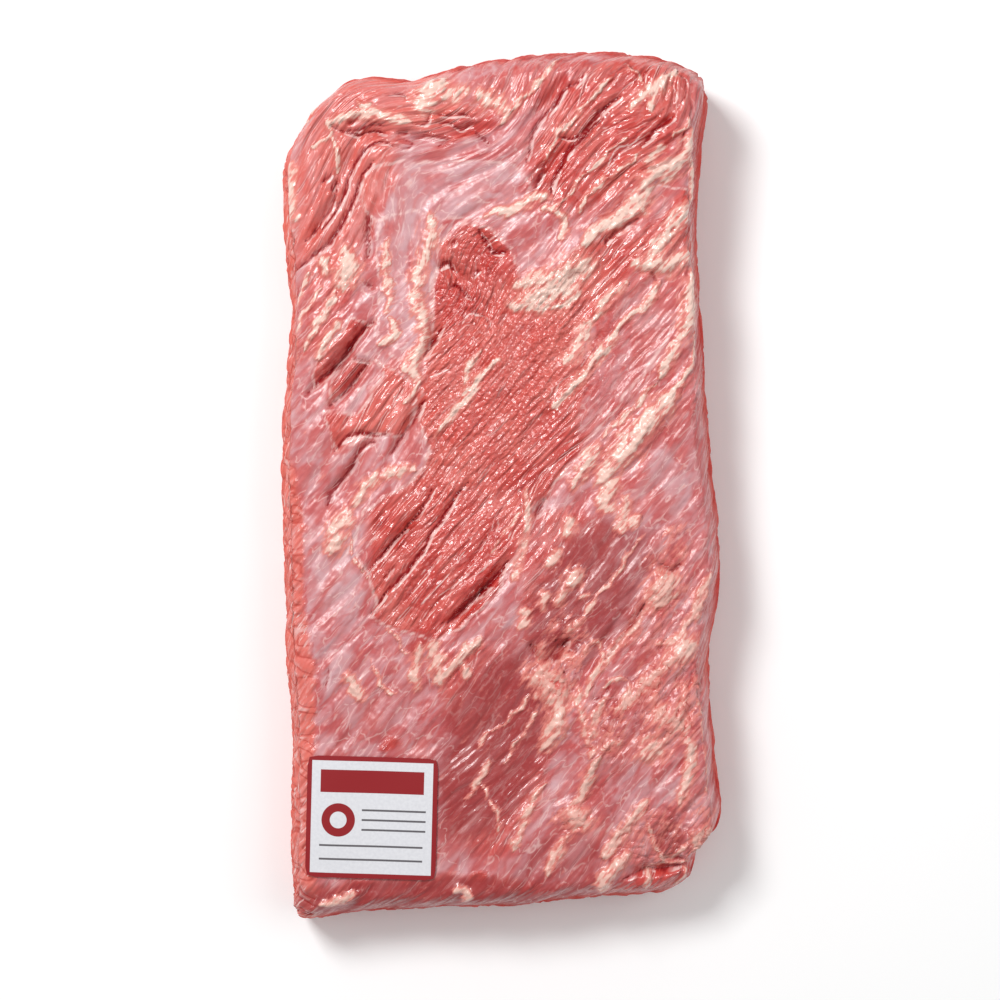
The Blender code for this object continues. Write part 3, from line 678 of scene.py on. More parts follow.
def grain(x, y):
    """Distances along and across the muscle grain."""
    for cx, cy, reach, degrees in GRAIN_TURNS:
        turn = np.radians(degrees) * np.exp(-((x - cx) ** 2 + (y - cy) ** 2) / (2 * reach**2))
        along, across = turned(x - cx, y - cy, turn)
        x, y = cx + along, cy + across
    x = x + 3.0 * noise(x / 34, y / 34, 11)
    y = y + 3.0 * noise(x / 34, y / 34, 12)
    return turned(x, y, np.radians(GRAIN_ANGLE))


def lozenge(x, y, cx, cy, degrees, length, width):
    """1 in the middle of a long rounded patch, 0 outside it."""
    along, across = turned(x - cx, y - cy, np.radians(degrees))
    return 1 - smoothstep(0.0, 1.0, np.hypot(along / (length / 2), across / (width / 2)))


def pressed(x, y):
    """1 under the label, which lies flat, and 0 away from it."""
    along, across = turned(x - LABEL_PLACE[0], y - LABEL_PLACE[1], np.radians(LABEL_TURN))
    outside = np.maximum(abs(along) - LABEL_WIDTH / 2, abs(across) - LABEL_HEIGHT / 2)
    return 1 - smoothstep(0, PRESSED_REACH, outside)


def painted(x, y, base, patches):
    """A value from 0 to 1 at each place, from soft-edged patches painted over one another."""
    value = np.zeros_like(x) + base
    for cx, cy, half_length, half_width, degrees, level in patches:
        along, across = turned(x - cx, y - cy, np.radians(degrees))
        cover = 1 - smoothstep(0.72, 1.1, np.hypot(along / half_length, across / half_width))
        value = value * (1 - cover) + level * cover
    return value


def inside_depth(x, y, outline):
    """Distance of each place from a closed outline: above 0 inside it, below 0 outside."""
    nearest = np.full(x.shape, 1e9)
    crossings = np.zeros(x.shape, int)
    for k, (bx, by) in enumerate(outline):
        ax, ay = outline[k - 1]
        nearest = np.minimum(nearest, from_stretch(x, y, (ax, ay), (bx, by))[0])
        spans = (ay > y) != (by > y)
        crossings += spans & (x < ax + (bx - ax) * (y - ay) / (by - ay + 1e-9))
    return np.where(crossings % 2 == 1, nearest, -nearest)


def sheeted(x, y):
    """How thick the silvery skin is, and how near the rim of a crisp sheet is, both from 0 to 1."""
    value = np.full(x.shape, FILM_BASE)
    rim = np.zeros(x.shape)
    for level, softness, outline in SHEETS:
        depth = inside_depth(x, y, outline)
        cover = smoothstep(-softness, softness, depth)
        value = value * (1 - cover) + level * cover
        if softness < RIM_SOFTNESS:
            rim = np.maximum(rim * (1 - cover), 1 - abs(depth) / RIM_WIDTH)
    return value, np.clip(rim, 0, 1)


def streaked(x, y, streaks, spread=1.0):
    """How deep inside a streak each place is: its strength on the middle line, 0 at the edge."""
    value = np.full(x.shape, -1.0)
    for strength, width, points in streaks:
        line = curve_through(points, np.linspace(0, 1, 6 * len(points)))
        width = width * spread
        low, high = line.min(0) - width, line.max(0) + width
        near = (x > low[0]) & (x < high[0]) & (y > low[1]) & (y < high[1])
        px, py = x[near], y[near]
        best = np.full(px.shape, -1.0)
        for k in range(len(line) - 1):
            distance, t = from_stretch(px, py, line[k], line[k + 1])
            share = (k + t) / (len(line) - 1)
            half = width / 2 * (1 - STREAK_TAPER * (2 * share - 1) ** 4)
            best = np.maximum(best, 1 - distance / half)
        best = np.where(best > 0, best * strength, best)
        value[near] = np.maximum(value[near], best)
    return np.maximum(value, -1)


def skin_masks(x, y, s, q, ragged, side, left):
    """How thick the silvery skin is, where its sheets end, and where darker muscle shows through it or shade
    is painted.
    """
    wander = 0.9 * ripple(x / 7, y / 7, 45) + 0.6 * ragged
    film, rim = sheeted(x + wander, y - wander)
    film = painted(x + wander, y - wander, film, FILM_PATCHES)
    film = film * (1 - side) + SIDE_FILM * side
    film = film * (1 - left) + BAND_FILM * left
    film = np.clip(film + 0.12 * ripple(s / 16, q / 5, 47), 0, 1)
    dusk_and_shade = painted(x + 2 * wander, y - 2 * wander, DUSK_BASE, DUSK_AND_SHADE_PATCHES) * (1 - 0.5 * side)
    return film, rim * (1 - side) * (1 - left), dusk_and_shade


def crease_masks(x, y, ragged):
    """The painted shade along each of the creases, the painted highlight beside it to its lower right, and
    how deep their relief is.
    """
    even = [(min(1.0, depth / DARK_DEPTH), width, points) for depth, width, points in CREASES]
    crease_shade = streaked(x + 0.5 * ragged, y - 0.5 * ragged, even)
    crease_highlight = streaked(x - SHINE_STEP, y + SHINE_STEP, even, SHINE_SPREAD)
    return crease_shade, crease_highlight, np.maximum(streaked(x, y, CREASES, CREASE_SPREAD), 0)


def fat_masks(x, y, sway_x, sway_y, ragged, wrinkled):
    """How deep inside fat each place is, and how far the fat stands up there."""
    fat = streaked(x + sway_x, y + sway_y, STREAKS)
    fat = fat + 0.75 * ragged * smoothstep(-1.0, 0.0, fat)
    clumps = wrinkled * (0.62 + 0.75 * ripple(x / 6.5, y / 6.5, 91))
    thick_fat = []
    for strength, width, points in STREAKS:
        thick_fat.append((strength * min(1.0, width / WIDE_FAT), width, points))
    bulge = np.maximum(streaked(x + sway_x, y + sway_y, thick_fat, CREASE_SPREAD), 0)
    return np.maximum(fat, 1.1 * clumps - 1), bulge


def coarse_relief(x, y, s, q, lean, fatty):
    """Height of the bundles, folds and lumps, and how much shade is painted on the low ground between them.
    """
    gap = cell_gap(s / BUNDLE_LENGTH, q / BUNDLE_WIDTH, 21)
    height = -BUNDLE_DEPTH * (1 - smoothstep(0.0, BUNDLE_SHARE, gap)) * (1 - 0.7 * fatty)
    # Painted shade in the low ground between bundles, and below it in the folds
    hollow_shade = 0.35 * (1 - smoothstep(0.0, 0.2, gap)) * (0.4 + 0.6 * lean) * (1 - fatty)
    for cx, cy, degrees, length, width, depth in FOLDS:
        fold = lozenge(x, y, cx, cy, degrees, length, width * 1.5)
        height = height - depth * fold
        hollow_shade = np.maximum(hollow_shade, 0.28 * smoothstep(0.35, 1.0, fold) * min(1.0, depth / 3))
    for cx, cy, degrees, length, width, rise in LUMPS:
        height = height + rise * lozenge(x, y, cx, cy, degrees, length, width * 1.3)
    return height, hollow_shade


def bumpy(x, y, s, q, film, wrinkled, grainy):
    """Height of the crumbs of cut muscle, the soft swell of the skin, and the wrinkles of soft fat."""
    crumb = ripple(s / 1.9, q / 2.8, 61) + 0.6 * ripple(s / 1.3, q / 1.6, 62)
    lobe = ripple(s / 3.6, q / 7.0, 63)
    height = grainy * (1 - film) * (0.35 * crumb + 0.55 * lobe)
    height = height + 0.3 * (1 - film) * (1 - grainy) * ripple(s / 7, q / 3, 64)
    height = height + film * (0.5 * ripple(s / 17, q / 7, 65) + 0.12 * ripple(s / 6, q / 2.6, 66))
    worm_x = x / 4.2 + 0.7 * ripple(x / 5, y / 5, 71)
    worm_y = y / 4.2 + 0.7 * ripple(x / 5, y / 5, 72)
    worm = abs(ripple(worm_x, worm_y, 73))
    return height + wrinkled * (0.9 - 1.1 * (1 - smoothstep(0.0, 0.3, worm))), worm


def fields(x, y, drop, leftness):
    """Every pattern of the meat at an unrolled place: its height above the smooth body, and its masks."""
    s, q = grain(x, y)
    ragged = 0.6 * ripple(s / 7, q / 2.4, 41) + 0.45 * ripple(s / 3, q / 1.7, 43)
    sway_x = 1.3 * ripple(x / 6, y / 6, 51) + 0.6 * ripple(x / 2.7, y / 2.7, 53)
    sway_y = 1.3 * ripple(x / 6, y / 6, 52) + 0.6 * ripple(x / 2.7, y / 2.7, 54)
    side = smoothstep(SIDE_FROM, SIDE_WHOLE, drop)
    band_x = np.interp(y, *np.array(LEFT_BAND).T) + 1.2 * ripple(x / 5, y / 3, 49)
    left = np.maximum(side * leftness, smoothstep(1.5, -1.5, x - band_x))
    grainy = painted(x, y, 0.0, GRAINY_PATCHES)
    wrinkled = painted(x, y, 0.0, WRINKLED_PATCHES)
    film, rim, dusk_and_shade = skin_masks(x, y, s, q, ragged, side, left)
    crease_shade, crease_highlight, groove_depth = crease_masks(x + 0.4 * sway_x, y + 0.4 * sway_y, ragged)
    fat, bulge = fat_masks(x, y, sway_x, sway_y, ragged, wrinkled)
    fatty = smoothstep(-0.3, 0.6, fat)
    lean = 1 - film

    height, hollow_shade = coarse_relief(x, y, s, q, lean, fatty)
    height = height - CREASE_DEPTH * groove_depth
    phase = q / STRAND_WIDTH + 0.9 * ripple(s / 38, q / 15, 55) + 0.28 * ripple(s / 13, q / 6, 56)
    strand = np.sin(np.pi * phase)
    bite = smoothstep(-0.35, 0.25, ripple(s / 24, q / 5, 57))
    bite = bite * (0.2 + 0.8 * lean) * (1 - 0.75 * grainy) * (1 - fatty) * (1 - left) * (1 - 0.75 * dusk_and_shade)
    height = height - STRAND_DEPTH * bite * (1 - smoothstep(0.0, 0.75, abs(strand)))
    bumps, worm = bumpy(x, y, s, q, film, wrinkled, grainy)
    height = height + bumps
    height = height + smoothstep(0, 1, bulge) * (0.9 + 0.4 * ripple(x / 2.4, y / 2.4, 75)) * (1 - wrinkled)
    rib_x = x / RIB_LENGTH + 0.8 * ripple(x / 11, y / 7, 84)
    rib_y = y / RIB_WIDTH + 0.04 * x + 0.5 * ripple(x / 8, y / 8, 82)
    rib = ripple(rib_x, rib_y, 81) - RIB_LEVEL
    height = height - left * RIB_DEPTH * (1 - smoothstep(0.0, 0.4, abs(rib)))
    height = height * (1 - 0.9 * pressed(x, y))
    masks = {
        "film": film, "rim": rim, "dusk_and_shade": dusk_and_shade, "fat": fat, "crease_shade": crease_shade, "crease_highlight": crease_highlight, "rib": rib,
        "hollow_shade": hollow_shade, "strand": strand, "bite": bite, "grainy": grainy, "wrinkled": wrinkled,
        "worm": worm, "side": side, "left_side": left,
        # Painted light on the left band, which faces the key light, and on the brighter patches
        "painted_light": np.maximum(left, painted(x, y, 0.0, PAINTED_LIGHT_PATCHES)),
    }
    return height, masks, s, q


def cut_edges(bm, axis, cuts):
    """Cuts the cage's edges that run along one axis."""
    chosen = [edge for edge in bm.edges if abs(edge.verts[1].co[axis] - edge.verts[0].co[axis]) > 1e-6]
    bmesh.ops.subdivide_edges(bm, edges=chosen, cuts=cuts, use_grid_fill=True)


def cage():
    """A cube of side 2, cut into a coarse underside and a finer top and sides."""
    bm = bmesh.new()
    bmesh.ops.create_cube(bm, size=2.0)
    for axis, cells in enumerate((CELLS_ACROSS, CELLS_ALONG, CELLS_DOWN)):
        cut_edges(bm, axis, cells - 1)

    chosen = []
    for edge in bm.edges:
        low, high = sorted(vert.co.z for vert in edge.verts)
        if low > -0.999 or high - low > 0.1:
            chosen.append(edge)
    bmesh.ops.subdivide_edges(bm, edges=chosen, cuts=FINER - 1, use_grid_fill=True)
    bmesh.ops.recalc_face_normals(bm, faces=bm.faces)
    return bm


def mesh_of(name, bm):
    mesh = bpy.data.meshes.new(name)
    bm.to_mesh(mesh)
    bm.free()
    return mesh


def shown(name, data):
    """An object of the scene, at the origin."""
    obj = bpy.data.objects.new(name, data)
    bpy.context.scene.collection.objects.link(obj)
    return obj


def place(mesh, points):
    mesh.vertices.foreach_set("co", np.ascontiguousarray(points * MM, dtype=np.float32).ravel())
    mesh.update()


def mark(mesh, name, values):
    """Stores one number for each vertex, for the materials."""
    mesh.attributes.new(name, "FLOAT", "POINT").data.foreach_set("value", values.astype(np.float32))


def mark_place(mesh, name, x, y):
    """Stores a flat place for each vertex, for the materials."""
    layer = mesh.attributes.new(name, "FLOAT_VECTOR", "POINT")
    layer.data.foreach_set("vector", np.stack([x, y, 0 * x], 1).astype(np.float32).ravel())


def read_vectors(items, key):
    values = np.zeros(len(items) * 3, np.float32)
    items.foreach_get(key, values)
    return values.reshape(-1, 3).astype(float)


def build_meat():
    mesh = mesh_of("raw_brisket", cage())
    corners = read_vectors(mesh.vertices, "co")
    body, flat_x, flat_y, drop, share_x = skin(corners)
    under = corners[:, 2] < -0.999
    flat_x = np.where(under, -flat_x, flat_x)
    leftness = share_x * (corners[:, 0] < 0) * ~under
    height, masks, s, q = fields(flat_x, flat_y, drop, leftness)
    place(mesh, body)
    off_floor = smoothstep(0.0, FOOT_CLEAR, body[:, 2])
    points = body + read_vectors(mesh.vertex_normals, "vector") * (height * off_floor)[:, None]
    low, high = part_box("brisket")
    place(mesh, np.clip(points, np.array(low) / MM, np.array(high) / MM))
    for name, values in masks.items():
        mark(mesh, name, values)
    mark_place(mesh, "grain", s, q)
    mark_place(mesh, "skin_at", flat_x, flat_y)
    mesh.shade_smooth()
    return shown("raw_brisket", mesh)


def srgb(red, green, blue):
    """A colour given as 0 to 255 display values, as the shader's linear numbers."""
    values = np.array([red, green, blue]) / 255
    return tuple(np.where(values < 0.04045, values / 12.92, ((values + 0.055) / 1.055) ** 2.4)) + (1.0,)


class Finish:
    """A material and short ways to add its nodes."""

    def __init__(self, name):
        self.material = bpy.data.materials.new(name)
        self.material.use_nodes = True
        self.tree = self.material.node_tree
        self.shader = self.tree.nodes["Principled BSDF"]

    def put(self, socket, value):
        if isinstance(value, bpy.types.NodeSocket):
            self.tree.links.new(value, socket)
        else:
            socket.default_value = value

    def node(self, kind, inputs=None, **settings):
        made = self.tree.nodes.new("ShaderNode" + kind)
        for key, value in settings.items():
            setattr(made, key, value)
        for key, value in (inputs or {}).items():
            self.put(made.inputs[key], value)
        return made

    def math(self, operation, a, b=0.0, clamp=False):
        return self.node("Math", {0: a, 1: b}, operation=operation, use_clamp=clamp).outputs[0]

    def add(self, a, b):
        return self.math("ADD", a, b)

    def minus(self, a, b):
        return self.math("SUBTRACT", a, b)

    def times(self, a, b):
        return self.math("MULTIPLY", a, b)

    def most(self, a, b):
        return self.math("MAXIMUM", a, b)

    def inverse(self, a):
        return self.math("SUBTRACT", 1.0, a, clamp=True)

    def swing(self, cloud, reach):
        """A cloud's value about its middle, made stronger or weaker."""
        return self.times(self.minus(cloud, 0.5), reach)

    def between(self, value, low, high, to_low=0.0, to_high=1.0):
        """Runs smoothly from to_low to to_high as value goes from low to high."""
        inputs = {"Value": value, "From Min": low, "From Max": high, "To Min": to_low, "To Max": to_high}
        return self.node("MapRange", inputs, interpolation_type="SMOOTHSTEP").outputs["Result"]

    def mark(self, name):
        return self.node("Attribute", attribute_name=name).outputs["Fac"]

    def place(self, name):
        return self.node("Attribute", attribute_name=name).outputs["Vector"]

    def stretch(self, vector, across, along):
        """Scales a flat pattern's two directions."""
        return self.node("Mapping", {"Vector": vector, "Scale": (across, along, 1.0)}).outputs["Vector"]

    def cloud(self, vector, detail=2.0, rough=0.5, warp=0.0):
        inputs = {"Vector": vector, "Scale": 1.0, "Detail": detail, "Roughness": rough, "Distortion": warp}
        return self.node("TexNoise", inputs).outputs["Fac"]

    def cracks(self, vector):
        """Distance from the nearest border between scattered cells."""
        made = self.node("TexVoronoi", {"Vector": vector, "Scale": 1.0}, feature="DISTANCE_TO_EDGE")
        return made.outputs["Distance"]

    def blend(self, share, a, b):
        return self.node("Mix", {0: share, 6: a, 7: b}, data_type="RGBA").outputs[2]

    def bump(self, height, depth, strength=1.0, **under):
        """The way the surface faces with a relief of the given depth, in metres."""
        inputs = {"Height": height, "Strength": strength, "Distance": depth, **under}
        return self.node("Bump", inputs).outputs["Normal"]

    def made_of(self, looks):
        """The material, with the given values on its shader."""
        for name, value in looks.items():
            self.put(self.shader.inputs[name], value)
        return self.material


# The deep red is also painted shade in grooves and creases, the rose also painted shade at the thin end's
# edge, and the pale sinew colour also painted highlights
CORAL = srgb(203, 59, 50)
DEEP_RED_AND_SHADE = srgb(134, 14, 20)
PALE_LEAN = srgb(216, 98, 88)
LIT_LEAN = srgb(236, 117, 102)
ROSE_AND_SHADE = srgb(140, 24, 28)
SKIN = srgb(202, 150, 155)
SKIN_LILAC = srgb(182, 103, 108)
SINEW_AND_GLINT = srgb(243, 208, 202)
MILK = srgb(208, 180, 186)
CREAM = srgb(241, 205, 190)
SALMON = srgb(220, 124, 112)

# The depths of the meat's fine relief and of its wet film, in metres, and the film's refraction
FINE_DEPTH = 0.0011
WET_DEPTH = 0.00105
WET_BEND = 1.5


def meat_finish():
    f = Finish("wet_raw_beef")
    grain_at, skin_at = f.place("grain"), f.place("skin_at")
    film, rim, dusk_and_shade, fat = f.mark("film"), f.mark("rim"), f.mark("dusk_and_shade"), f.mark("fat")
    crease_shade, crease_highlight, hollow_shade, side = f.mark("crease_shade"), f.mark("crease_highlight"), f.mark("hollow_shade"), f.mark("side")
    strand, bite, grainy, painted_light = f.mark("strand"), f.mark("bite"), f.mark("grainy"), f.mark("painted_light")
    wrinkled, worm, left_side, rib = f.mark("wrinkled"), f.mark("worm"), f.mark("left_side"), f.mark("rib")

    fibres = f.cloud(f.stretch(grain_at, 0.13, 0.6), 2.0, 0.6)
    threads = f.cloud(f.stretch(grain_at, 0.4, 1.4), 1.0, 0.5)
    ridges = f.cloud(f.stretch(grain_at, 0.1, 0.55), 0.0)
    blotch = f.cloud(f.stretch(skin_at, 0.06, 0.06), 1.0, 0.55)
    mist = f.cloud(f.stretch(grain_at, 0.09, 0.2), 2.0, 0.55, 0.6)
    speckle = f.cloud(f.stretch(skin_at, 0.9, 0.9), 1.0, 0.6)
    lumps = f.cloud(f.stretch(skin_at, 0.4, 0.4), 0.0)
    pebbles_at = f.stretch(grain_at, 0.5, 0.7)
    pebbles = f.node("TexVoronoi", {"Vector": pebbles_at, "Scale": 1.0}).outputs["Distance"]

    seam = f.math("ABSOLUTE", f.add(strand, f.swing(threads, 0.5)))
    seam_line = f.between(seam, 0.22, 0.02)
    # Painted shade in the grooves between strands, and a painted highlight along their flanks; rib_cut is
    # painted shade in the ribs of the left band
    cut = f.times(seam_line, bite)
    glint_line = f.times(f.times(f.between(seam, 0.2, 0.34), f.between(seam, 0.55, 0.36)), bite)
    rib_cut = f.times(f.between(f.math("ABSOLUTE", rib), 0.2, 0.0), left_side)
    worm_cut = f.times(f.between(worm, 0.14, 0.0), wrinkled)

    lean = f.blend(f.between(blotch, 0.35, 0.7), CORAL, PALE_LEAN)
    lean = f.blend(f.between(fibres, 0.5, 0.34, 0.0, 0.35), lean, DEEP_RED_AND_SHADE)
    lean = f.blend(f.between(threads, 0.55, 0.75, 0.0, 0.5), lean, PALE_LEAN)
    # Painted light where the lean faces the light
    lean = f.blend(f.times(painted_light, 0.8), lean, LIT_LEAN)
    # The rosier muscle under thin skin, which also carries the painted shade at the thin end's edge
    lean = f.blend(f.times(dusk_and_shade, 0.8), lean, ROSE_AND_SHADE)
    # Painted shade in deep red: in the strand grooves, in the left band's ribs, on the low ground between
    # bundles and in folds, and along the creases; the crumbs of grainy lean get darker edges too
    dark = f.most(f.times(cut, 0.7), f.times(rib_cut, 0.4))
    dark = f.most(dark, f.times(f.between(hollow_shade, 0.1, 0.9), 0.8))
    crease_shade_line = f.between(f.add(crease_shade, f.swing(threads, 1.2)), 0.0, 0.9)
    # A painted highlight beside each of the creases, to its lower right, broken up by the mist
    glisten = f.times(f.inverse(f.times(crease_shade_line, 1.3)), f.between(mist, 0.4, 0.5))
    glisten = f.times(f.between(crease_highlight, 0.05, 0.5), glisten)
    dark = f.most(dark, crease_shade_line)
    dark = f.most(dark, f.times(grainy, f.between(pebbles, 0.45, 0.75, 0.0, 0.2)))
    lean = f.blend(dark, lean, DEEP_RED_AND_SHADE)
    # The painted highlights go on in the pale sinew colour, broken up by the mist and kept off the sides and
    # the creases
    gate = f.times(f.times(f.between(mist, 0.42, 0.56), f.inverse(f.times(side, 0.85))), f.inverse(crease_shade_line))
    lean = f.blend(f.times(f.times(glint_line, gate), 0.85), lean, SINEW_AND_GLINT)
    lean = f.blend(f.times(glisten, 0.85), lean, SINEW_AND_GLINT)
    # Painted glints on the left band, across its ribs and along its fibres
    rib_glints = f.times(f.between(rib, 0.2, 0.34), left_side)
    rib_glints = f.most(f.times(rib_glints, 0.6), f.times(f.between(fibres, 0.54, 0.66), left_side))
    lean = f.blend(f.times(rib_glints, f.between(mist, 0.44, 0.6, 0.0, 0.8)), lean, SINEW_AND_GLINT)

    web_at = f.stretch(grain_at, 0.06, 0.13)
    drift = f.node("TexNoise", {"Vector": web_at, "Scale": 1.6, "Detail": 1.0}).outputs["Color"]
    warp = f.node("VectorMath", {0: web_at, 1: drift}, operation="ADD").outputs[0]
    web = f.times(f.between(f.cracks(warp), 0.05, 0.0), f.between(fibres, 0.4, 0.56))
    veil = f.times(film, f.add(0.6, f.times(f.between(mist, 0.38, 0.62), 0.25)))
    veil = f.times(veil, f.inverse(f.times(dusk_and_shade, 0.5)))
    silver = f.blend(f.between(mist, 0.38, 0.66), SKIN_LILAC, SKIN)
    milk = f.most(f.between(mist, 0.58, 0.7, 0.0, 0.3), f.between(film, 0.9, 1.0, 0.0, 0.5))
    silver = f.blend(milk, silver, MILK)
    color = f.blend(f.times(veil, f.inverse(f.times(crease_shade_line, 0.75))), lean, silver)
    film_seam = f.times(f.times(seam_line, f.between(mist, 0.44, 0.56)), 0.35)
    streaks = f.times(f.between(fibres, 0.6, 0.72), 0.18)
    lines = f.most(f.most(f.times(web, 0.45), streaks), film_seam)
    color = f.blend(f.times(film, lines), color, SINEW_AND_GLINT)
    color = f.blend(f.times(f.between(rim, 0.1, 0.8), f.between(fibres, 0.4, 0.55, 0.1, 0.55)), color, SINEW_AND_GLINT)

    tissue = f.cloud(f.stretch(grain_at, 0.2, 0.7), 2.0, 0.65)
    feather = f.add(f.swing(tissue, 2.6), f.swing(fibres, 1.6))
    edge = f.add(fat, feather)
    fat_cover = f.between(edge, -0.75, 0.25)
    fat_tone = f.blend(f.between(edge, 0.05, 0.7), SALMON, CREAM)
    fat_tone = f.blend(f.between(fibres, 0.48, 0.36, 0.0, 0.45), fat_tone, SALMON)
    along = f.node("SeparateXYZ", {0: skin_at}).outputs[1]
    fat_tone = f.blend(f.between(along, 50.0, -50.0, 0.0, 0.25), fat_tone, SALMON)
    fat_tone = f.blend(f.times(wrinkled, 0.35), fat_tone, SALMON)
    fat_tone = f.blend(f.times(worm_cut, 0.8), fat_tone, CORAL)
    color = f.blend(f.times(f.times(fat_cover, 0.92), f.inverse(f.times(crease_shade_line, 0.6))), color, fat_tone)

    cuts = f.most(f.times(rib_cut, 0.25), worm_cut)
    bare = f.times(f.inverse(film), f.inverse(f.times(dusk_and_shade, 0.7)))
    fine = f.times(f.add(0.2, bare), f.times(ridges, 1.3))
    fine = f.minus(fine, f.times(f.times(grainy, bare), f.times(pebbles, 0.8)))
    soft = f.times(f.add(f.times(film, 0.25), f.between(fat, -0.8, 0.9)), f.times(lumps, 0.8))
    height = f.minus(f.add(fine, soft), f.times(cuts, 0.2))
    relief = f.bump(height, FINE_DEPTH)

    wet = f.cloud(f.stretch(grain_at, 0.3, 0.62), 0.0)
    wet = f.times(wet, f.add(0.2, f.times(bare, 0.8)))
    calm = f.inverse(f.add(f.times(film, 0.5), f.times(dusk_and_shade, 0.3)))
    open_coat = f.times(f.inverse(f.times(side, 0.92)), f.inverse(f.most(f.times(crease_shade_line, 0.5), rib_cut)))
    dull = f.most(f.most(crease_shade_line, side), rib_cut)
    return f.made_of({
        "Base Color": color,
        "Roughness": f.add(f.times(f.between(speckle, 0.35, 0.7), 0.2), 0.3),
        "Specular IOR Level": f.times(f.inverse(dull), 0.45),
        "Normal": relief,
        "Coat Weight": f.times(open_coat, calm),
        "Coat Roughness": f.add(f.add(0.14, f.times(film, 0.2)), f.times(grainy, 0.1)),
        "Coat IOR": WET_BEND,
        "Coat Normal": f.bump(wet, WET_DEPTH, Normal=relief),
    })


PAPER = srgb(222, 222, 226)
PAPER_SHADE = srgb(212, 212, 217)
LABEL_RED = srgb(142, 10, 20)
LABEL_GREY = srgb(92, 88, 92)
WEAVE_DEPTH = 0.00005

# The label's print, from its middle: (x, y, half width, half height). The ring is (x, y, outer, inner radius)
PRINT_SOFTNESS = 0.06
LABEL_BORDER = 1.9
LABEL_BAND = (0.0, 14.6, 21.0, 4.6)
LABEL_RULES = (
    (9.0, 3.0, 13.0, 0.4), (9.0, -1.0, 13.0, 0.4), (9.0, -5.0, 13.0, 0.4),
    (0.0, -11.6, 21.0, 0.4), (0.0, -17.2, 21.0, 0.4),
)
LABEL_RING = (-13.5, -1.2, 6.8, 3.4)


def label_finish():
    f = Finish("printed_paper")
    print_at = f.place("print_at")
    at = f.node("SeparateXYZ", {0: print_at}).outputs

    def within(distance, limit):
        return f.between(distance, limit + PRINT_SOFTNESS, limit - PRINT_SOFTNESS)

    def inside(cx, cy, half_width, half_height):
        over_x = f.minus(f.math("ABSOLUTE", f.minus(at[0], cx)), half_width)
        over_y = f.minus(f.math("ABSOLUTE", f.minus(at[1], cy)), half_height)
        return within(f.most(over_x, over_y), 0.0)

    color = f.blend(f.between(f.cloud(f.stretch(print_at, 0.8, 0.8), 3.0), 0.2, 0.8), PAPER, PAPER_SHADE)
    frame_in = inside(0.0, 0.0, LABEL_WIDTH / 2 - LABEL_BORDER, LABEL_HEIGHT / 2 - LABEL_BORDER)
    color = f.blend(frame_in, LABEL_RED, color)
    color = f.blend(inside(*LABEL_BAND), color, LABEL_RED)
    for rule in LABEL_RULES:
        color = f.blend(inside(*rule), color, LABEL_GREY)
    cx, cy, outer, inner = LABEL_RING
    dx, dy = f.minus(at[0], cx), f.minus(at[1], cy)
    far = f.math("SQRT", f.add(f.times(dx, dx), f.times(dy, dy)))
    ring = f.times(within(far, outer), f.inverse(within(far, inner)))
    color = f.blend(ring, color, LABEL_RED)
    weave = f.cloud(f.stretch(print_at, 2.5, 2.5), 3.0, 0.6)
    return f.made_of({
        "Base Color": color,
        "Roughness": f.between(weave, 0.3, 0.7, 0.38, 0.5),
        "Normal": f.bump(weave, WEAVE_DEPTH, 0.2),
    })


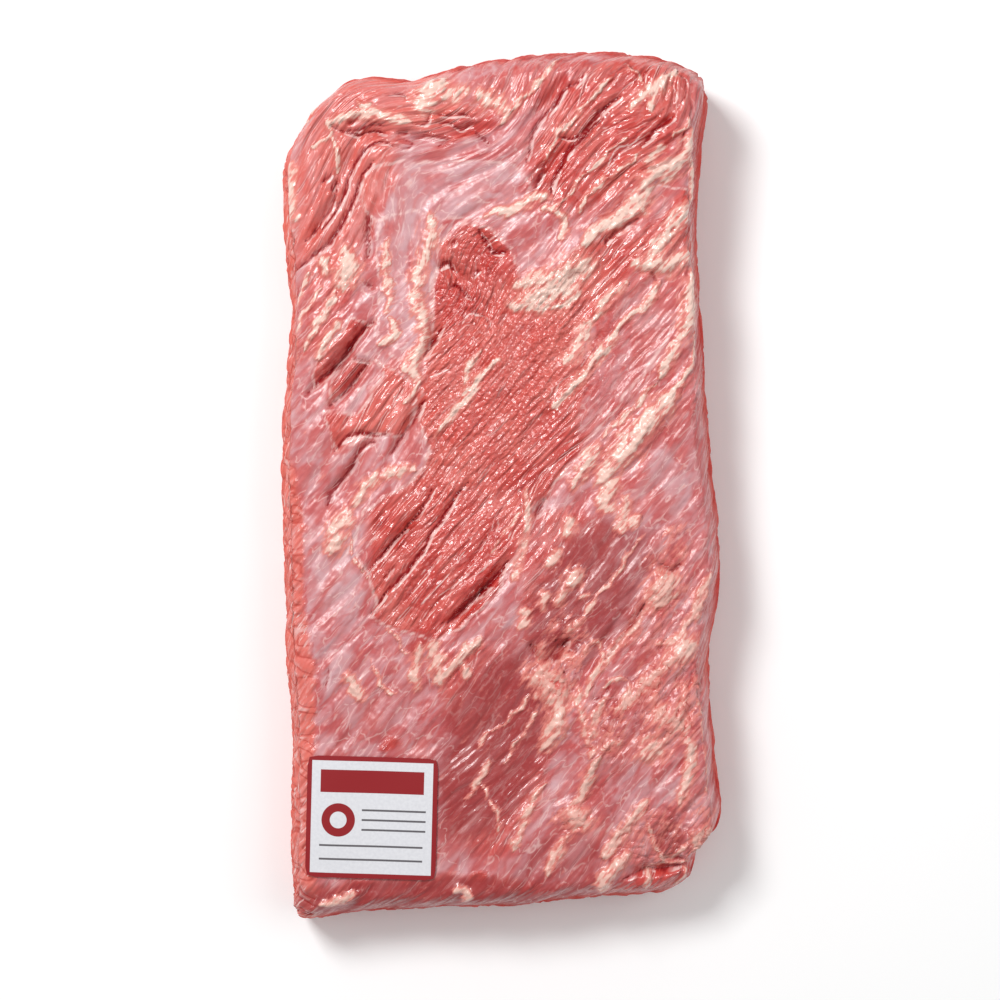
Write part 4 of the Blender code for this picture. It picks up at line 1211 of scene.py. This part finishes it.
def build_label():
    """The paper sheet, bent as its solid is."""
    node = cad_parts["label"]
    surface = BVHTree.FromObject(node, bpy.context.evaluated_depsgraph_get())
    bm = bmesh.new()
    bmesh.ops.create_grid(bm, x_segments=LABEL_CELLS, y_segments=LABEL_CELLS, size=0.5)
    corners = [vert for vert in bm.verts if len(vert.link_edges) == 2]
    bmesh.ops.scale(bm, vec=(LABEL_WIDTH, LABEL_HEIGHT, 1), verts=bm.verts)
    for corner in corners:
        corner.co -= Vector((np.sign(corner.co.x), np.sign(corner.co.y), 0)) * LABEL_CORNER / 2
    bmesh.ops.subdivide_edges(bm, edges=bm.edges, cuts=LABEL_CUTS, use_grid_fill=True)
    cx, cy = LABEL_PLACE
    angle = np.radians(LABEL_TURN)
    for vert in bm.verts:
        dx, dy = turned(vert.co.x, vert.co.y, -angle)
        above = Vector((cx + dx * (1 - LABEL_FEEL_IN), cy + dy * (1 - LABEL_FEEL_IN), LABEL_FEEL_FROM))
        hit = surface.ray_cast(above * MM, Vector((0, 0, -1)))
        vert.co = Vector((cx + dx, cy + dy, hit[0].z / MM - LABEL_THICKNESS))
    inner = [vert for vert in bm.verts if not vert.is_boundary]
    for _ in range(LABEL_SMOOTHINGS):
        bmesh.ops.smooth_vert(bm, verts=inner, factor=0.5, use_axis_z=True)
    sheet = bmesh.ops.extrude_face_region(bm, geom=bm.faces[:])
    raised = [item for item in sheet["geom"] if isinstance(item, bmesh.types.BMVert)]
    bmesh.ops.translate(bm, vec=(0, 0, LABEL_THICKNESS - LABEL_SLACK), verts=raised)
    bmesh.ops.recalc_face_normals(bm, faces=bm.faces)
    bmesh.ops.scale(bm, vec=(MM, MM, MM), verts=bm.verts)
    mesh = mesh_of("paper_label", bm)
    x, y, _ = read_vectors(mesh.vertices, "co").T / MM
    mark_place(mesh, "print_at", *turned(x - cx, y - cy, angle))
    mesh.shade_smooth()
    mesh.set_sharp_from_angle(angle=np.radians(40))
    return shown("paper_label", mesh)


# The studio, in metres. Each light is (name, place, size, power)
FLOOR_HALF = 3.0
FLOOR_DROP = 0.0004
FLOOR_WHITE = 0.97
SKY_LIGHT = 0.42
LIGHTS = (("key", (-0.6, 0.62, 1.15), 0.42, 15.3), ("fill", (1.0, 0.1, 1.3), 1.2, 6.3))
CAMERA_PLACE = (-0.0004, -0.0051, 1.164)
CAMERA_LENS = 100.0
CAMERA_SENSOR = 36.0


def build_studio():
    """A white floor, a soft key light from the upper left, a fill from the right, and a camera above."""
    bm = bmesh.new()
    bmesh.ops.create_grid(bm, x_segments=1, y_segments=1, size=FLOOR_HALF)
    bmesh.ops.translate(bm, vec=(0, 0, -FLOOR_DROP), verts=bm.verts)
    floor = shown("floor", mesh_of("floor", bm))
    white = (FLOOR_WHITE, FLOOR_WHITE, FLOOR_WHITE, 1.0)
    looks = {"Base Color": white, "Roughness": 0.9, "Specular IOR Level": 0.1}
    floor.data.materials.append(Finish("white_floor").made_of(looks))

    world = bpy.data.worlds.new("studio")
    world.use_nodes = True
    sky = world.node_tree.nodes["Background"].inputs
    sky["Color"].default_value = (1.0, 1.0, 1.0, 1.0)
    sky["Strength"].default_value = SKY_LIGHT
    bpy.context.scene.world = world

    for name, spot, size, power in LIGHTS:
        light = bpy.data.lights.new(name, "AREA")
        light.size = size
        light.energy = power
        lamp = shown(name, light)
        lamp.location = spot
        lamp.rotation_euler = (-Vector(spot)).to_track_quat("-Z", "Y").to_euler()

    camera = shown("camera", bpy.data.cameras.new("camera"))
    camera.data.lens = CAMERA_LENS
    camera.data.sensor_width = CAMERA_SENSOR
    camera.location = CAMERA_PLACE
    bpy.context.scene.camera = camera
    bpy.context.scene.view_settings.view_transform = "Standard"


meat = build_meat()
meat.data.materials.append(meat_finish())
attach(meat, "root")
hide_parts("brisket")

label = build_label()
label.data.materials.append(label_finish())
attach(label, "root")
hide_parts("label")

build_studio()
